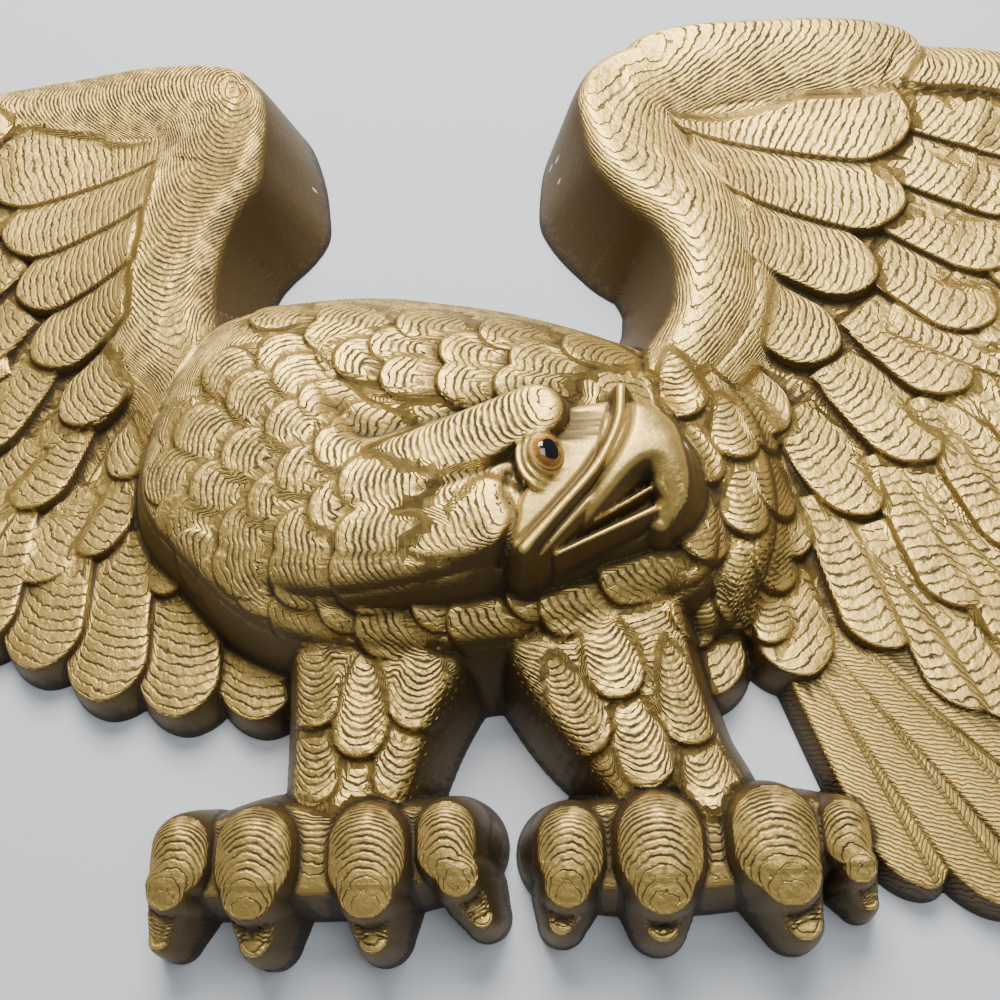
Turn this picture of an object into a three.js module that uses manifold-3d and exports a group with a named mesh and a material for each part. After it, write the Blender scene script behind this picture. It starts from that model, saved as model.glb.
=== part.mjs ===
import * as THREE from "three";
import Module from "manifold-3d";

// Eagle wall plaque in millimetres, +Z up, +X to the viewer's right.
// The flat back lies on the wall plane Y = 0 and the carved front faces -Y.
// The casting is one relief: its surface stands H(x, z) millimetres off the wall.

// Height grid that the relief is worked out on
const FIELD = { x0: -410, x1: 410, z0: -208, z1: 236, pitch: 1 };
// Height given to points off the casting, so that the walls cross the wall plane cleanly
const FLOOR = -24;
// Share of the triangles: points placed on the relief one by one where it errs most
const RELIEF_POINTS = 4300;
// Depth of the block behind the wall plane before the back is cut flat
const BACKING = 10;
// Points lower than this are off the casting, and a net bridging over them is put right first
const OFF_CASTING = -1.6;
const BRIDGE_PENALTY = 2.5;
const BRIDGE_FROM = -0.2;
// No side of the net is longer than this where it can be split
const LONGEST_SIDE = 42;
// No grid point used in the mesh lies nearer to the wall plane than this
const CLEAR_OF_WALL = 0.4;
// Spare room of the box that keeps what lies in front of the wall plane, sideways and in depth
const KEEP = { side: 5, depth: 200 };

// Points of the curves per span: ridges, outlines, rows of feathers, lanes of scales
const SPANS = { ridge: 8, outline: 6, row: 20, lane: 12 };
// Spare room in millimetres round the part of the grid that a form is worked out on
const SPARE = { form: 4, feather: 10 };
// A feather starts this share of its half width before its root, and is never worked out
// further across than this many half widths
const FEATHER_ROOT = 0.3;
const FEATHER_ACROSS = 1.2;
// A ridge's crown isn't taken further out than this many half widths
const RIDGE_ACROSS = 1.3;
// A scale whose lane ends before this share of its length is left out
const SHORTEST_SCALE = 0.5;
// A groove is cut out to this many of its widths
const GROOVE_ACROSS = 3;
// Keeps divisions away from zero
const TINY = 1e-9;

// Wing ground: paths of x, z and rise that the feathers' ground falls away from
const GROUND = { level: 9, fade: 56, mix: 4 };
const ARM_RIGHT = [
  [98, 172, 24], [106, 156, 24], [116, 137, 24], [126, 116, 25], [131, 92, 25],
  [129, 64, 24], [118, 40, 22], [106, 5, 16], [100, -40, 12], [98, -80, 8],
];
const LEAD_RIGHT = [
  [112, 184, 20], [160, 190, 22], [215, 190, 18], [265, 182, 13], [310, 155, 9],
  [350, 105, 6], [372, 50, 4],
];
const ARM_LEFT = [
  [-116, 178, 24], [-124, 158, 24], [-134, 133, 24], [-138, 110, 25], [-138, 75, 24],
  [-131, 50, 22], [-118, 30, 20], [-112, 0, 16], [-97, -45, 12], [-60, -75, 8], [-45, -90, 6],
];
const LEAD_LEFT = [
  [-122, 185, 20], [-160, 190, 20], [-215, 190, 15], [-265, 180, 11], [-310, 155, 8],
  [-350, 105, 6], [-372, 50, 4],
];

// Plain web under the feathers of each wing
const WEB = { under: 1.5, slope: 3.5, round: 1, reach: 35 };
const WEB_RIGHT = [
  [100, 190], [230, 188], [300, 150], [345, 90], [362, 30], [330, -25], [280, -65],
  [215, -85], [150, -80], [112, -78], [98, -30], [105, 50],
];
const WEB_LEFT = [
  [-100, 190], [-230, 188], [-300, 150], [-345, 90], [-362, 30], [-330, -25], [-280, -55],
  [-225, -60], [-170, -60], [-120, -80], [-60, -85], [-100, -30], [-120, 50],
];

// Rows of wing feathers, outermost row first: n feathers spread evenly from a curve of roots
// to a curve of tips, half width from w0 to w1, root and tip lift off the ground,
// tilt raising the lower edge, nose the length of the rounded end in half widths
const ROWS_RIGHT = [
  {
    roots: [[205, 60], [225, 20], [215, -20], [190, -50]],
    tips: [[396, -26], [352, -88], [290, -112], [222, -116]],
    n: 8, w0: 20, w1: 18, low: 1, lift: 2, crown: 1.2, tilt: -2.2, nose: 1.4,
  },
  {
    roots: [[275, 170], [270, 90], [235, 20], [185, -40]],
    tips: [[372, 40], [342, -8], [290, -52], [208, -112]],
    n: 8, w0: 22, w1: 18, low: 1, lift: 2.6, crown: 1.3, tilt: -2, nose: 1,
  },
  {
    roots: [[250, 175], [240, 110], [225, 40], [185, -15], [130, -40], [100, -50]],
    tips: [[345, 92], [318, 40], [285, -10], [212, -72], [160, -94], [108, -105]],
    n: 10, w0: 22, w1: 15, low: 1, lift: 3, crown: 1.4, tilt: -2, nose: 1,
  },
  {
    roots: [[215, 180], [210, 120], [190, 60], [160, 15], [130, 0], [106, -30]],
    tips: [[296, 150], [262, 92], [236, 44], [203, -14], [155, -46], [112, -66]],
    n: 9, w0: 23, w1: 14, low: 1, lift: 3.6, crown: 1.3, tilt: -2, nose: 1.1,
  },
  {
    roots: [[112, 174], [124, 132], [129, 85], [123, 45], [110, 15], [96, 0]],
    tips: [[222, 160], [212, 112], [187, 64], [154, 12], [131, -10], [116, -29]],
    n: 6, w0: 25, w1: 12, low: 2, lift: 4, crown: 1, tilt: -1.3, nose: 1.1,
  },
];
const ROWS_LEFT = [
  {
    roots: [[-205, 60], [-225, 20], [-215, -10], [-190, -30]],
    tips: [[-396, -26], [-352, -80], [-300, -98], [-240, -92]],
    n: 8, w0: 20, w1: 18, low: 1, lift: 2, crown: 1.2, tilt: 2.2, nose: 1.4,
  },
  {
    roots: [[-275, 170], [-270, 90], [-235, 20], [-160, -20], [-110, -48], [-72, -50]],
    tips: [[-372, 40], [-342, -8], [-290, -52], [-174, -83], [-120, -105], [-67, -110]],
    n: 12, w0: 22, w1: 17, low: 1, lift: 2.6, crown: 1.3, tilt: 1.9, nose: 1,
  },
  {
    roots: [[-250, 175], [-240, 110], [-225, 60], [-185, 15], [-150, -15]],
    tips: [[-345, 92], [-318, 40], [-275, 0], [-215, -38], [-172, -50]],
    n: 7, w0: 22, w1: 16, low: 1, lift: 2.8, crown: 1.4, tilt: 2, nose: 1,
  },
  {
    roots: [[-215, 180], [-210, 120], [-190, 60], [-150, 15], [-125, -5], [-108, -20]],
    tips: [[-296, 150], [-262, 95], [-235, 40], [-184, -14], [-136, -47], [-108, -60]],
    n: 8, w0: 22, w1: 14, low: 1, lift: 3.6, crown: 1.3, tilt: 2, nose: 1.1,
  },
  {
    roots: [[-114, 176], [-128, 132], [-133, 97], [-135, 66], [-125, 42], [-112, 22]],
    tips: [[-226, 158], [-210, 122], [-193, 80], [-180, 48], [-161, 18], [-137, -7]],
    n: 6, w0: 24, w1: 13, low: 2, lift: 4, crown: 1, tilt: 1.3, nose: 1.1,
  },
];
const FEATHER = { slope: 3, round: 1.1, taper: 0.8, blunt: 1.75, rise: 1.2 };

// Tail fan: long feathers out of one point, turned by an even step
const TAIL = {
  apex: [122, -30], first: 68.5, step: 8.2, root: 30, lengths: [154, 172, 178, 178, 172, 160, 145],
  level: 11, lift: 1.5, crown: 1.5, tilt: -2.2, halfWidth: 15.5, nose: 1.6, taper: 0.45, blunt: 1.7,
};

// Leading edges beyond the wrist: x, z, half width, height
const EDGE_RIGHT = [
  [226, 190, 14, 29], [270, 184, 14, 26], [315, 152, 13, 22], [350, 106, 12, 19], [372, 50, 11, 16],
];
const EDGE_LEFT = [
  [-226, 190, 15, 27], [-270, 184, 14, 25], [-315, 152, 13, 21], [-350, 106, 12, 18], [-372, 50, 11, 15],
];
const EDGE = { slope: 4, round: 3, crown: 3, blend: 0, power: 2 };

// Folded arm of each wing, ruled between two edges of x, z, height: the band along the top,
// then the arm from wrist to shoulder
const BAND = { crown: 4, slope: 3.5, ease: 1.4, round: 5, blend: 2.5 };
// the arm's inner wall is steep beside the wrist and flatter below it; beside their second
// edge both straps ease down onto the feathers
const ARM = { crown: 3, slope: 1.75, ease: 1.2, round: 6, blend: 3, steep: 3.4, from: 122, to: 182 };
// share of a strap's width over which its wall changes from one edge's draft to the other's
const EASE_FROM = 0.55;
const EASE_TO = 0.8;
const BAND_RIGHT_TOP = [
  [84, 184, 44], [91, 194, 47], [100, 200, 48], [115, 204, 48], [135, 206, 47], [160, 209, 44],
  [185, 211, 41], [205, 211, 38], [222, 208, 34], [231, 202, 30],
];
const BAND_RIGHT_LOW = [
  [92, 152, 42], [112, 160, 35], [136, 168, 32], [168, 172, 29], [200, 172, 27], [222, 178, 26],
  [231, 190, 27],
];
const ARM_RIGHT_IN = [
  [86, 190, 49], [76, 182, 51], [70, 173, 52], [67, 160, 52], [70, 145, 51], [77, 126, 50], [89, 109, 48],
  [101, 97, 46], [108, 80, 45], [108, 62, 44], [104, 48, 44], [94, 32, 44], [84, 18, 44],
];
const ARM_RIGHT_OUT = [
  [136, 200, 44], [128, 184, 38], [113, 165, 34], [118, 144, 33], [132, 122, 33], [137, 99, 34],
  [138, 78, 34], [137, 57, 34], [126, 36, 36], [114, 20, 38], [108, 8, 40],
];
const BAND_LEFT_TOP = [
  [-86, 184, 50], [-92, 190, 51], [-108, 197, 49], [-125, 201, 46], [-150, 206, 40], [-180, 211, 32],
  [-220, 213, 25], [-250, 210, 22],
];
const BAND_LEFT_LOW = [
  [-95, 152, 41], [-122, 162, 35], [-148, 169, 31], [-180, 175, 26], [-215, 182, 21], [-250, 190, 19],
];
const ARM_LEFT_IN = [
  [-92, 190, 49], [-84, 182, 51], [-79, 172, 52], [-77, 158, 52], [-79, 145, 51], [-83, 130, 49],
  [-92, 117, 46],
  [-99, 103, 42], [-103, 86, 39], [-103, 67, 37], [-99, 51, 38], [-92, 36, 40], [-84, 20, 42],
];
const ARM_LEFT_OUT = [
  [-146, 199, 42], [-140, 182, 36], [-133, 161, 33], [-139, 140, 32], [-143, 117, 31], [-145, 95, 31],
  [-144, 74, 31], [-138, 47, 32], [-122, 29, 34], [-112, 12, 38],
];

// Body and neck outlines at their front edge
const BODY = [
  [-119, 0], [-115, 32], [-98, 57], [-83, 65], [-61, 70], [-25, 71], [7, 66], [37, 59], [72, 46], [95, 32],
  [108, 0], [112, -35], [106, -66], [79, -76], [50, -86], [21, -91], [-8, -92], [-41, -88], [-60, -81],
  [-76, -71], [-93, -54], [-108, -38], [-116, -22],
];
const BODY_FORM = {
  edgeLow: 44, edgeHigh: 30, from: -40, to: 20, peak: 60, spread: 22, slope: 2.6, round: 5, blend: 2,
};
// Shoulder that the right wing's small feathers climb, beside the beak: x, z, half width, height
const SHOULDER = [
  [102, 24, 14, 40], [112, -6, 17, 43], [114, -36, 17, 43], [110, -57, 15, 39], [106, -70, 11, 31],
];
const SHOULDER_FORM = { slope: 1.3, round: 6, crown: 5, blend: 3, power: 2 };
const NECK = [
  [-112, -8], [-107, -36], [-96, -50], [-80, -61], [-60, -69], [-31, -75], [8, -72], [30, -66], [40, -60],
  [44, -20], [52, -6], [40, -3], [20, -6], [0, -9], [-20, -12], [-29, -3], [-42, 15], [-60, 29],
  [-84, 32], [-102, 18],
];
const NECK_FORM = {
  peak: 80, at: 40, fall: 0.09, bow: 0.0011, edge: 8, spread: 9, slope: 2.4, round: 5, blend: 1.5,
};
const NAPE = {
  path: [[-33, -1], [-24, -11], [-12, -12], [8, -6], [34, 1], [60, 4]], width: 5, depth: 3.6,
};

// Scale feathers laid along guide curves that run the way the tips point
const SCALE = { sink: 0.3, slope: 3, round: 0.8, nose: 1.05, taper: 0.75, blunt: 2 };
const CHEST_LANES = {
  guides: [
    [[102, -62], [70, -70], [30, -76], [-20, -78], [-60, -70], [-95, -50]],
    [[96, -68], [60, -78], [20, -84], [-30, -84], [-70, -70], [-95, -54]],
  ],
  n: 6, w: 10, length: 38, lift: 3, crown: 1,
};
const SHOULDER_LANES = {
  guides: [
    [[127, 24], [135, -12], [136, -48], [127, -86]],
    [[112, 30], [120, -4], [123, -40], [114, -90]],
    [[97, 34], [103, 0], [106, -36], [99, -88]],
  ],
  n: 4, w: 11, length: 36, lift: 3, crown: 1.6,
};
const BACK_LANES = {
  guides: [
    [[92, 22], [55, 33], [15, 40], [-30, 47], [-75, 55]],
    [[85, 12], [50, 21], [15, 27], [-20, 31], [-52, 42]],
    [[66, 6], [30, 9], [5, 12], [-18, 16], [-40, 32]],
  ],
  n: 5, w: 11.5, length: 38, lift: 2.9, crown: 1,
};
const NECK_LANES = {
  guides: [
    [[6, -18], [-22, -14], [-45, 10], [-62, 36]],
    [[14, -28], [-24, -24], [-58, -2], [-86, 30]],
    [[14, -40], [-30, -35], [-70, -16], [-106, 8]],
    [[16, -50], [-30, -46], [-72, -32], [-110, -18]],
    [[14, -60], [-30, -57], [-70, -48], [-104, -38]],
    [[24, -68], [-20, -70], [-60, -63], [-94, -50]],
  ],
  n: 5, w: 12.5, length: 42, lift: 3.2, crown: 1,
};
const LEG_LANES = {
  guides: [
    [[-42, -74], [-40, -108], [-40, -152]], [[-20, -70], [-22, -108], [-26, -158]],
    [[4, -76], [-2, -108], [-12, -150]],
    [[38, -76], [52, -108], [70, -152]], [[60, -68], [70, -103], [86, -158]],
    [[84, -70], [91, -103], [104, -150]],
  ],
  n: 3, w: 11, length: 44, lift: 3, crown: 1.6,
};

// Legs and feet: x, z, half width, height
const LEGS = [
  [[-16, -80, 36, 44], [-22, -108, 29, 39], [-28, -140, 24, 33]],
  [[60, -75, 36, 46], [70, -102, 31, 41], [84, -128, 25, 36], [92, -146, 26, 33]],
];
const LEG_FORM = { slope: 3.6, round: 7, crown: 7, blend: 0, power: 2.4 };
const FEET = [
  [[-86, -164, 12, 32], [-58, -159, 17, 35], [-18, -158, 17, 35], [10, -157, 13, 32]],
  [[50, -160, 14, 32], [80, -158, 18, 35], [118, -157, 16, 34], [145, -155, 11, 30]],
];
const FOOT_FORM = { slope: 5, round: 5, crown: 3, blend: 0, power: 2 };
// Toes: x and z of the knuckle, its half width and height, then x and z of the talon's point
const TOES = [
  [-84, -160, 12, 42, -93, -187], [-57, -161, 15, 46, -58, -188], [-18, -161, 15, 46, -17, -187],
  [9, -157, 12, 44, 20, -181], [51, -160, 13, 42, 47, -183], [81, -160, 16, 46, 81, -184],
  [119, -158, 16, 46, 128, -184], [144, -156, 10, 38, 152, -178],
];
const KNUCKLE = { half: 3, slope: 8, round: 2.8, crown: 6, blend: 1, power: 2.2 };
const JOINT = {
  drop: 10, share: 0.78, lean: 0.35, lower: 1, slope: 10, round: 3, crown: 4.5, blend: 1, power: 2,
};
const TALON = {
  from: 14, share: 0.66, point: 0.48, lean: 1.5, high: 5, low: 16, slope: 7, round: 3, crown: 3,
  blend: 0, power: 2,
};

// Head: brow and cheek ridges, bare plates of face and beak, cere, mouth
const BROW = [[-24, -31, 9, 69], [12, -26, 12, 78], [44, -16, 10.5, 85.5]];
const BROW_FORM = { slope: 2.6, round: 3, crown: 2, blend: 1.5, power: 2.5 };
const CHEEK = [[-26, -48, 14, 69], [8, -52, 16, 75], [26, -51, 14, 79]];
const CHEEK_FORM = { slope: 2.8, round: 4, crown: 2, blend: 1, power: 3 };
const CHIN = [
  [34, -68], [34, -54], [40, -40], [46, -24], [54, -13], [75, -9], [90, -12], [98, -22], [101, -36],
  [97, -48], [88, -53], [64, -62.5], [46, -69.5],
];
const CHIN_FORM = { height: 63, slope: 2.4, round: 4 };
const FACE = [
  [36, -68], [36, -54], [42, -40], [47, -24], [54, -13], [68, -9], [78, -9], [77, -26], [67, -44],
  [52, -60], [41, -69],
];
const FACE_FORM = { height: 78.5, at: 50, fall: 0.06, mid: -38, bow: 0.004, slope: 3, round: 2.5 };
const BEAK = [
  [70, -12], [86, -12], [95, -18], [99, -28], [99, -36], [94, -38], [86, -36], [79, -39], [67, -51],
  [56, -61],
  [47, -67], [41, -66], [58, -44],
];
const BEAK_FORM = { height: 81, at: 76, bowX: 0.017, mid: -30, bowZ: 0.006, slope: 4.5, round: 4.5 };
const HOOK = [[88, -29, 8, 79], [91, -38, 8, 76], [91, -46, 7, 71], [87, -53, 5.5, 65]];
const HOOK_FORM = { slope: 3, round: 4, crown: 4, blend: 2, power: 2 };
const CERE = [
  [75, -8, 2.4, 82.5], [73, -22, 2.3, 82.5], [65, -38, 2.2, 82], [52, -53, 2.2, 81.5], [39, -67, 2.6, 80],
];
const TONGUE = [[86, -41, 1.5, 70], [64, -54, 1.1, 71]];
const JAW = [[85, -50, 1.9, 69.5], [50, -66, 1.2, 71]];
const BARE_FORM = { slope: 4, round: 2, crown: 1, blend: 0, power: 2 };
const GROOVES = [
  { path: [[79, -12], [77, -24], [70, -37], [57, -52], [44, -66]], width: 1, depth: 1.6 },
  { path: [[71, -12], [69, -23], [61, -37], [48, -52], [37, -63]], width: 0.9, depth: 1.2 },
  { path: [[2, -42], [14, -40], [26, -36], [36, -30]], width: 1.5, depth: 1.4 },
  { path: [[34, -38], [33, -46], [36, -54], [33, -62], [30, -67]], width: 1.6, depth: 2.4 },
];

// Eye: a lid mound with two folds, and a glass lens set in it, turned outwards about the vertical
const EYE = {
  x: 48.3, z: -32.8, y: -82, turn: 34, radius: 7, rim: 1.4, step: 0.6, dome: 2.6, back: 2.2, gap: 0.3,
};
const LID = {
  top: 85, below: 0.5, fall: 0.6, reach: 14, folds: [9.2, 11.6], foldDepth: 1.3, foldWidth: 0.8,
};
const LENS_RINGS = 4;
const LENS_SIDES = 24;

// Curve through control points
function curve(points, perSpan, closed = false) {
  const n = points.length;
  const at = (i) => {
    if (closed) return points[(i + n) % n];
    if (i < 0) return points[0].map((v, k) => 2 * v - points[1][k]);
    if (i >= n) return points[n - 1].map((v, k) => 2 * v - points[n - 2][k]);
    return points[i];
  };
  const out = [];
  const spans = closed ? n : n - 1;
  for (let i = 0; i < spans; i++) {
    const [a, b, c, d] = [at(i - 1), at(i), at(i + 1), at(i + 2)];
    for (let j = 0; j < perSpan; j++) {
      const t = j / perSpan;
      out.push(b.map((_, k) => {
        const lin = (c[k] - a[k]) * t;
        const quad = (2 * a[k] - 5 * b[k] + 4 * c[k] - d[k]) * t * t;
        const cube = (3 * b[k] - a[k] - 3 * c[k] + d[k]) * t * t * t;
        return 0.5 * (2 * b[k] + lin + quad + cube);
      }));
    }
  }
  if (!closed) out.push([...points[n - 1]]);
  return out;
}

// Point at a share of a curve's length
function along(line, share) {
  const lengths = [0];
  for (let i = 1; i < line.length; i++) {
    lengths.push(lengths[i - 1] + Math.hypot(line[i][0] - line[i - 1][0], line[i][1] - line[i - 1][1]));
  }
  const want = THREE.MathUtils.clamp(share, 0, 1) * lengths[lengths.length - 1];
  let i = 1;
  while (i < line.length - 1 && lengths[i] < want) i++;
  const t = (want - lengths[i - 1]) / (lengths[i] - lengths[i - 1]);
  const point = line[i].map((v, k) => line[i - 1][k] + (v - line[i - 1][k]) * t);
  return { point, total: lengths[lengths.length - 1] };
}

// Wall profile: level inside the edge, a rounded shoulder, then a straight draft
function fallOff(d, slope, round) {
  if (d < -round) return 0;
  if (d > round) return slope * d;
  return (slope * (d + round) ** 2) / (4 * round);
}

function smoothMax(a, b, mix) {
  return mix > 0 ? 0.5 * (a + b + Math.hypot(a - b, mix)) : Math.max(a, b);
}

const COLS = Math.round((FIELD.x1 - FIELD.x0) / FIELD.pitch) + 1;
const ROWS = Math.round((FIELD.z1 - FIELD.z0) / FIELD.pitch) + 1;
const height = new Float64Array(COLS * ROWS).fill(FLOOR);
const clampCol = (x) => THREE.MathUtils.clamp(Math.round((x - FIELD.x0) / FIELD.pitch), 0, COLS - 1);
const clampRow = (z) => THREE.MathUtils.clamp(Math.round((z - FIELD.z0) / FIELD.pitch), 0, ROWS - 1);

// Runs a function over the grid points within a margin of a set of points
function overWindow(points, margin, visit) {
  const xs = points.map((p) => p[0]);
  const zs = points.map((p) => p[1]);
  const i1 = clampCol(Math.max(...xs) + margin);
  const j1 = clampRow(Math.max(...zs) + margin);
  for (let j = clampRow(Math.min(...zs) - margin); j <= j1; j++) {
    for (let i = clampCol(Math.min(...xs) - margin); i <= i1; i++) {
      visit(FIELD.x0 + i * FIELD.pitch, FIELD.z0 + j * FIELD.pitch, j * COLS + i);
    }
  }
}

function raise(index, value, mix) {
  const old = height[index];
  const near = Math.abs(old - value) <= 6 * mix;
  height[index] = near ? smoothMax(old, value, mix) : Math.max(old, value);
}

// Distance to a line of x, z, ...: the nearest place's distance and its further columns
function nearest(line, x, z, useWidth) {
  let best = Infinity;
  let found = null;
  for (let i = 1; i < line.length; i++) {
    const a = line[i - 1];
    const b = line[i];
    const dx = b[0] - a[0];
    const dz = b[1] - a[1];
    const t = THREE.MathUtils.clamp(((x - a[0]) * dx + (z - a[1]) * dz) / (dx * dx + dz * dz + TINY), 0, 1);
    const far = Math.hypot(x - a[0] - t * dx, z - a[1] - t * dz);
    const key = useWidth ? far - (a[2] + (b[2] - a[2]) * t) : far;
    if (key < best) {
      best = key;
      found = [far, a, b, t];
    }
  }
  const [far, a, b, t] = found;
  return { far, third: a[2] + (b[2] - a[2]) * t, fourth: a[3] + (b[3] - a[3]) * t, edge: best };
}

// Signed distance to a closed outline, negative inside
function outlineDistance(outline, x, z) {
  let best = Infinity;
  let inside = false;
  for (let i = 0; i < outline.length; i++) {
    const a = outline[i];
    const b = outline[(i + 1) % outline.length];
    const dx = b[0] - a[0];
    const dz = b[1] - a[1];
    const t = THREE.MathUtils.clamp(((x - a[0]) * dx + (z - a[1]) * dz) / (dx * dx + dz * dz + TINY), 0, 1);
    best = Math.min(best, Math.hypot(x - a[0] - t * dx, z - a[1] - t * dz));
    if (a[1] > z !== b[1] > z && x < a[0] + ((z - a[1]) * dx) / dz) inside = !inside;
  }
  return inside ? -best : best;
}

const highest = (points, column) => Math.max(...points.map((p) => p[column]));

// Rounded ridge along a path of x, z, half width, height
function ridge(path, form) {
  const line = curve(path, SPANS.ridge);
  const margin = highest(path, 2) + highest(path, 3) / form.slope + form.round + SPARE.form;
  overWindow(line, margin, (x, z, index) => {
    const { far, third, fourth, edge } = nearest(line, x, z, true);
    const top = fourth - form.crown * Math.min(far / third, RIDGE_ACROSS) ** form.power;
    raise(index, top - fallOff(edge, form.slope, form.round), form.blend);
  });
}

// Raised area inside an outline, its top given by a function of x, z and the depth inside the edge
function plateau(points, top, form, reach) {
  const outline = curve(points, SPANS.outline, true);
  overWindow(outline, reach / form.slope + form.round + SPARE.form, (x, z, index) => {
    const d = outlineDistance(outline, x, z);
    raise(index, top(x, z, Math.max(-d, 0)) - fallOff(d, form.slope, form.round), form.blend || 0);
  });
}

// Surface ruled between two edges of x, z, height
function strap(one, two, form) {
  const first = curve(one, SPANS.outline);
  const second = curve(two, SPANS.outline);
  const outline = [...first, ...[...second].reverse()];
  overWindow(outline, highest(one, 2) / form.slope + form.round + SPARE.form, (x, z, index) => {
    const d = outlineDistance(outline, x, z);
    const p = nearest(first, x, z, false);
    const q = nearest(second, x, z, false);
    const s = (p.far + TINY) / (p.far + q.far + 2 * TINY);
    const top = p.third * (1 - s) + q.third * s + form.crown * 4 * s * (1 - s);
    const share = form.steep ? THREE.MathUtils.smoothstep(z, form.from, form.to) : 0;
    const wall = form.steep ? THREE.MathUtils.lerp(form.slope, form.steep, share) : form.slope;
    const eased = THREE.MathUtils.smoothstep(s, EASE_FROM, EASE_TO);
    raise(index, top - fallOff(d, THREE.MathUtils.lerp(wall, form.ease, eased), form.round), form.blend);
  });
}

// One feather: a strip with a rounded end, its top following the ground
function feather(root, tip, w, ground, form) {
  const length = Math.hypot(tip[0] - root[0], tip[1] - root[1]);
  const ax = (tip[0] - root[0]) / length;
  const az = (tip[1] - root[1]) / length;
  const nose = Math.min(form.nose * w, length * 0.9);
  const start = length - nose;
  overWindow([root, tip], w * FEATHER_ACROSS + SPARE.feather, (x, z, index) => {
    const s = (x - root[0]) * ax + (z - root[1]) * az;
    const t = -(x - root[0]) * az + (z - root[1]) * ax;
    const f = THREE.MathUtils.clamp(s / length, 0, 1);
    const half = w * (form.taper + (1 - form.taper) * Math.sqrt(f));
    const v = Math.abs(t) / half;
    let d = Math.abs(t) - half;
    if (s > start) {
      const u = (s - start) / nose;
      const rho = (u ** form.blunt + v ** form.blunt) ** (1 / form.blunt) + TINY;
      const rise = Math.hypot(u ** (form.blunt - 1) / nose, v ** (form.blunt - 1) / half);
      d = (rho - 1) / (rise / rho ** (form.blunt - 1) + TINY);
    }
    d = Math.max(d, -s - w * FEATHER_ROOT);
    const across = THREE.MathUtils.clamp(t / half, -FEATHER_ACROSS, FEATHER_ACROSS);
    const top = ground(x, z, index) + form.low + (form.lift - form.low) * f ** form.rise
      - form.crown * across * across + form.tilt * across;
    raise(index, top - fallOff(d, form.slope, form.round), 0);
  });
}

function featherRow(row, ground) {
  const roots = curve(row.roots, SPANS.row);
  const tips = curve(row.tips, SPANS.row);
  for (let i = 0; i < row.n; i++) {
    const share = i / (row.n - 1);
    const w = row.w0 + (row.w1 - row.w0) * share;
    feather(along(roots, share).point, along(tips, share).point, w, ground, { ...FEATHER, ...row });
  }
}

// Overlapping scale feathers over whatever relief is already there
function scaleLanes(lanes) {
  const before = height.slice();
  const form = {
    ...FEATHER, ...SCALE, low: -SCALE.sink, lift: lanes.lift, crown: lanes.crown, tilt: 0,
  };
  lanes.guides.forEach((guide, g) => {
    const line = curve(guide, SPANS.lane);
    for (let i = 0; i < lanes.n; i++) {
      const share = (i + (g % 2 ? 0.5 : 0)) / lanes.n;
      const root = along(line, share);
      const tip = along(line, share + lanes.length / root.total).point;
      const reach = Math.hypot(tip[0] - root.point[0], tip[1] - root.point[1]);
      if (reach >= lanes.length * SHORTEST_SCALE) {
        feather(root.point, tip, lanes.w, (x, z, index) => before[index], form);
      }
    }
  });
}

function groove(path, width, depth) {
  const line = curve(path, SPANS.outline);
  overWindow(line, width * GROOVE_ACROSS, (x, z, index) => {
    height[index] -= depth * Math.exp(-((nearest(line, x, z, false).far / width) ** 2));
  });
}

// Ground of a wing: falls away from the arm and from the leading edge
function wingGround(arm, lead) {
  const swell = (line, x, z) => {
    const { far, third } = nearest(line, x, z, false);
    return third * Math.exp(-far / GROUND.fade);
  };
  return (x, z) => GROUND.level + smoothMax(swell(arm, x, z), swell(lead, x, z), GROUND.mix);
}

function makeTail() {
  const form = { ...FEATHER, ...TAIL, low: 0 };
  for (let i = TAIL.lengths.length - 1; i >= 0; i--) {
    const a = THREE.MathUtils.degToRad(TAIL.first - TAIL.step * i);
    const out = (r) => [TAIL.apex[0] + Math.cos(a) * r, TAIL.apex[1] - Math.sin(a) * r];
    feather(out(TAIL.root), out(TAIL.lengths[i]), TAIL.halfWidth, () => TAIL.level, form);
  }
}

function makeWing(ground, web, rows, tail) {
  plateau(web, (x, z) => ground(x, z) - WEB.under, WEB, WEB.reach);
  rows.forEach((row, i) => {
    featherRow(row, ground);
    if (tail && i === 0) makeTail();
  });
}

function makeToe([x, z, half, high, tipX, tipZ]) {
  const lean = (tipX - x) * JOINT.lean;
  ridge([[x, z + KNUCKLE.half, half, high], [x, z - KNUCKLE.half, half, high]], KNUCKLE);
  const width = half * JOINT.share;
  const joint = [x + lean, z - JOINT.drop, width, high];
  ridge([joint, [joint[0], joint[1] - JOINT.lower, width, high - JOINT.lower]], JOINT);
  const claw = [x + lean * TALON.lean, z - TALON.from, half * TALON.share, high - TALON.high];
  ridge([claw, [tipX, tipZ, half * TALON.point, high - TALON.low]], TALON);
}

function makeEyeMound() {
  const turn = THREE.MathUtils.degToRad(EYE.turn);
  overWindow([[EYE.x, EYE.z]], LID.reach, (x, z, index) => {
    // plane of the lens's rim, and the distance from its axis in that plane
    const rim = -EYE.y - Math.tan(turn) * (x - EYE.x);
    const rho = Math.hypot((x - EYE.x) / Math.cos(turn), z - EYE.z);
    let lid = Math.min(rim - LID.below, LID.top) - LID.fall * Math.max(rho - EYE.radius, 0);
    for (const at of LID.folds) lid -= LID.foldDepth * Math.exp(-(((rho - at) / LID.foldWidth) ** 2));
    if (rho < LID.reach) raise(index, lid, 0);
  });
}

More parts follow.
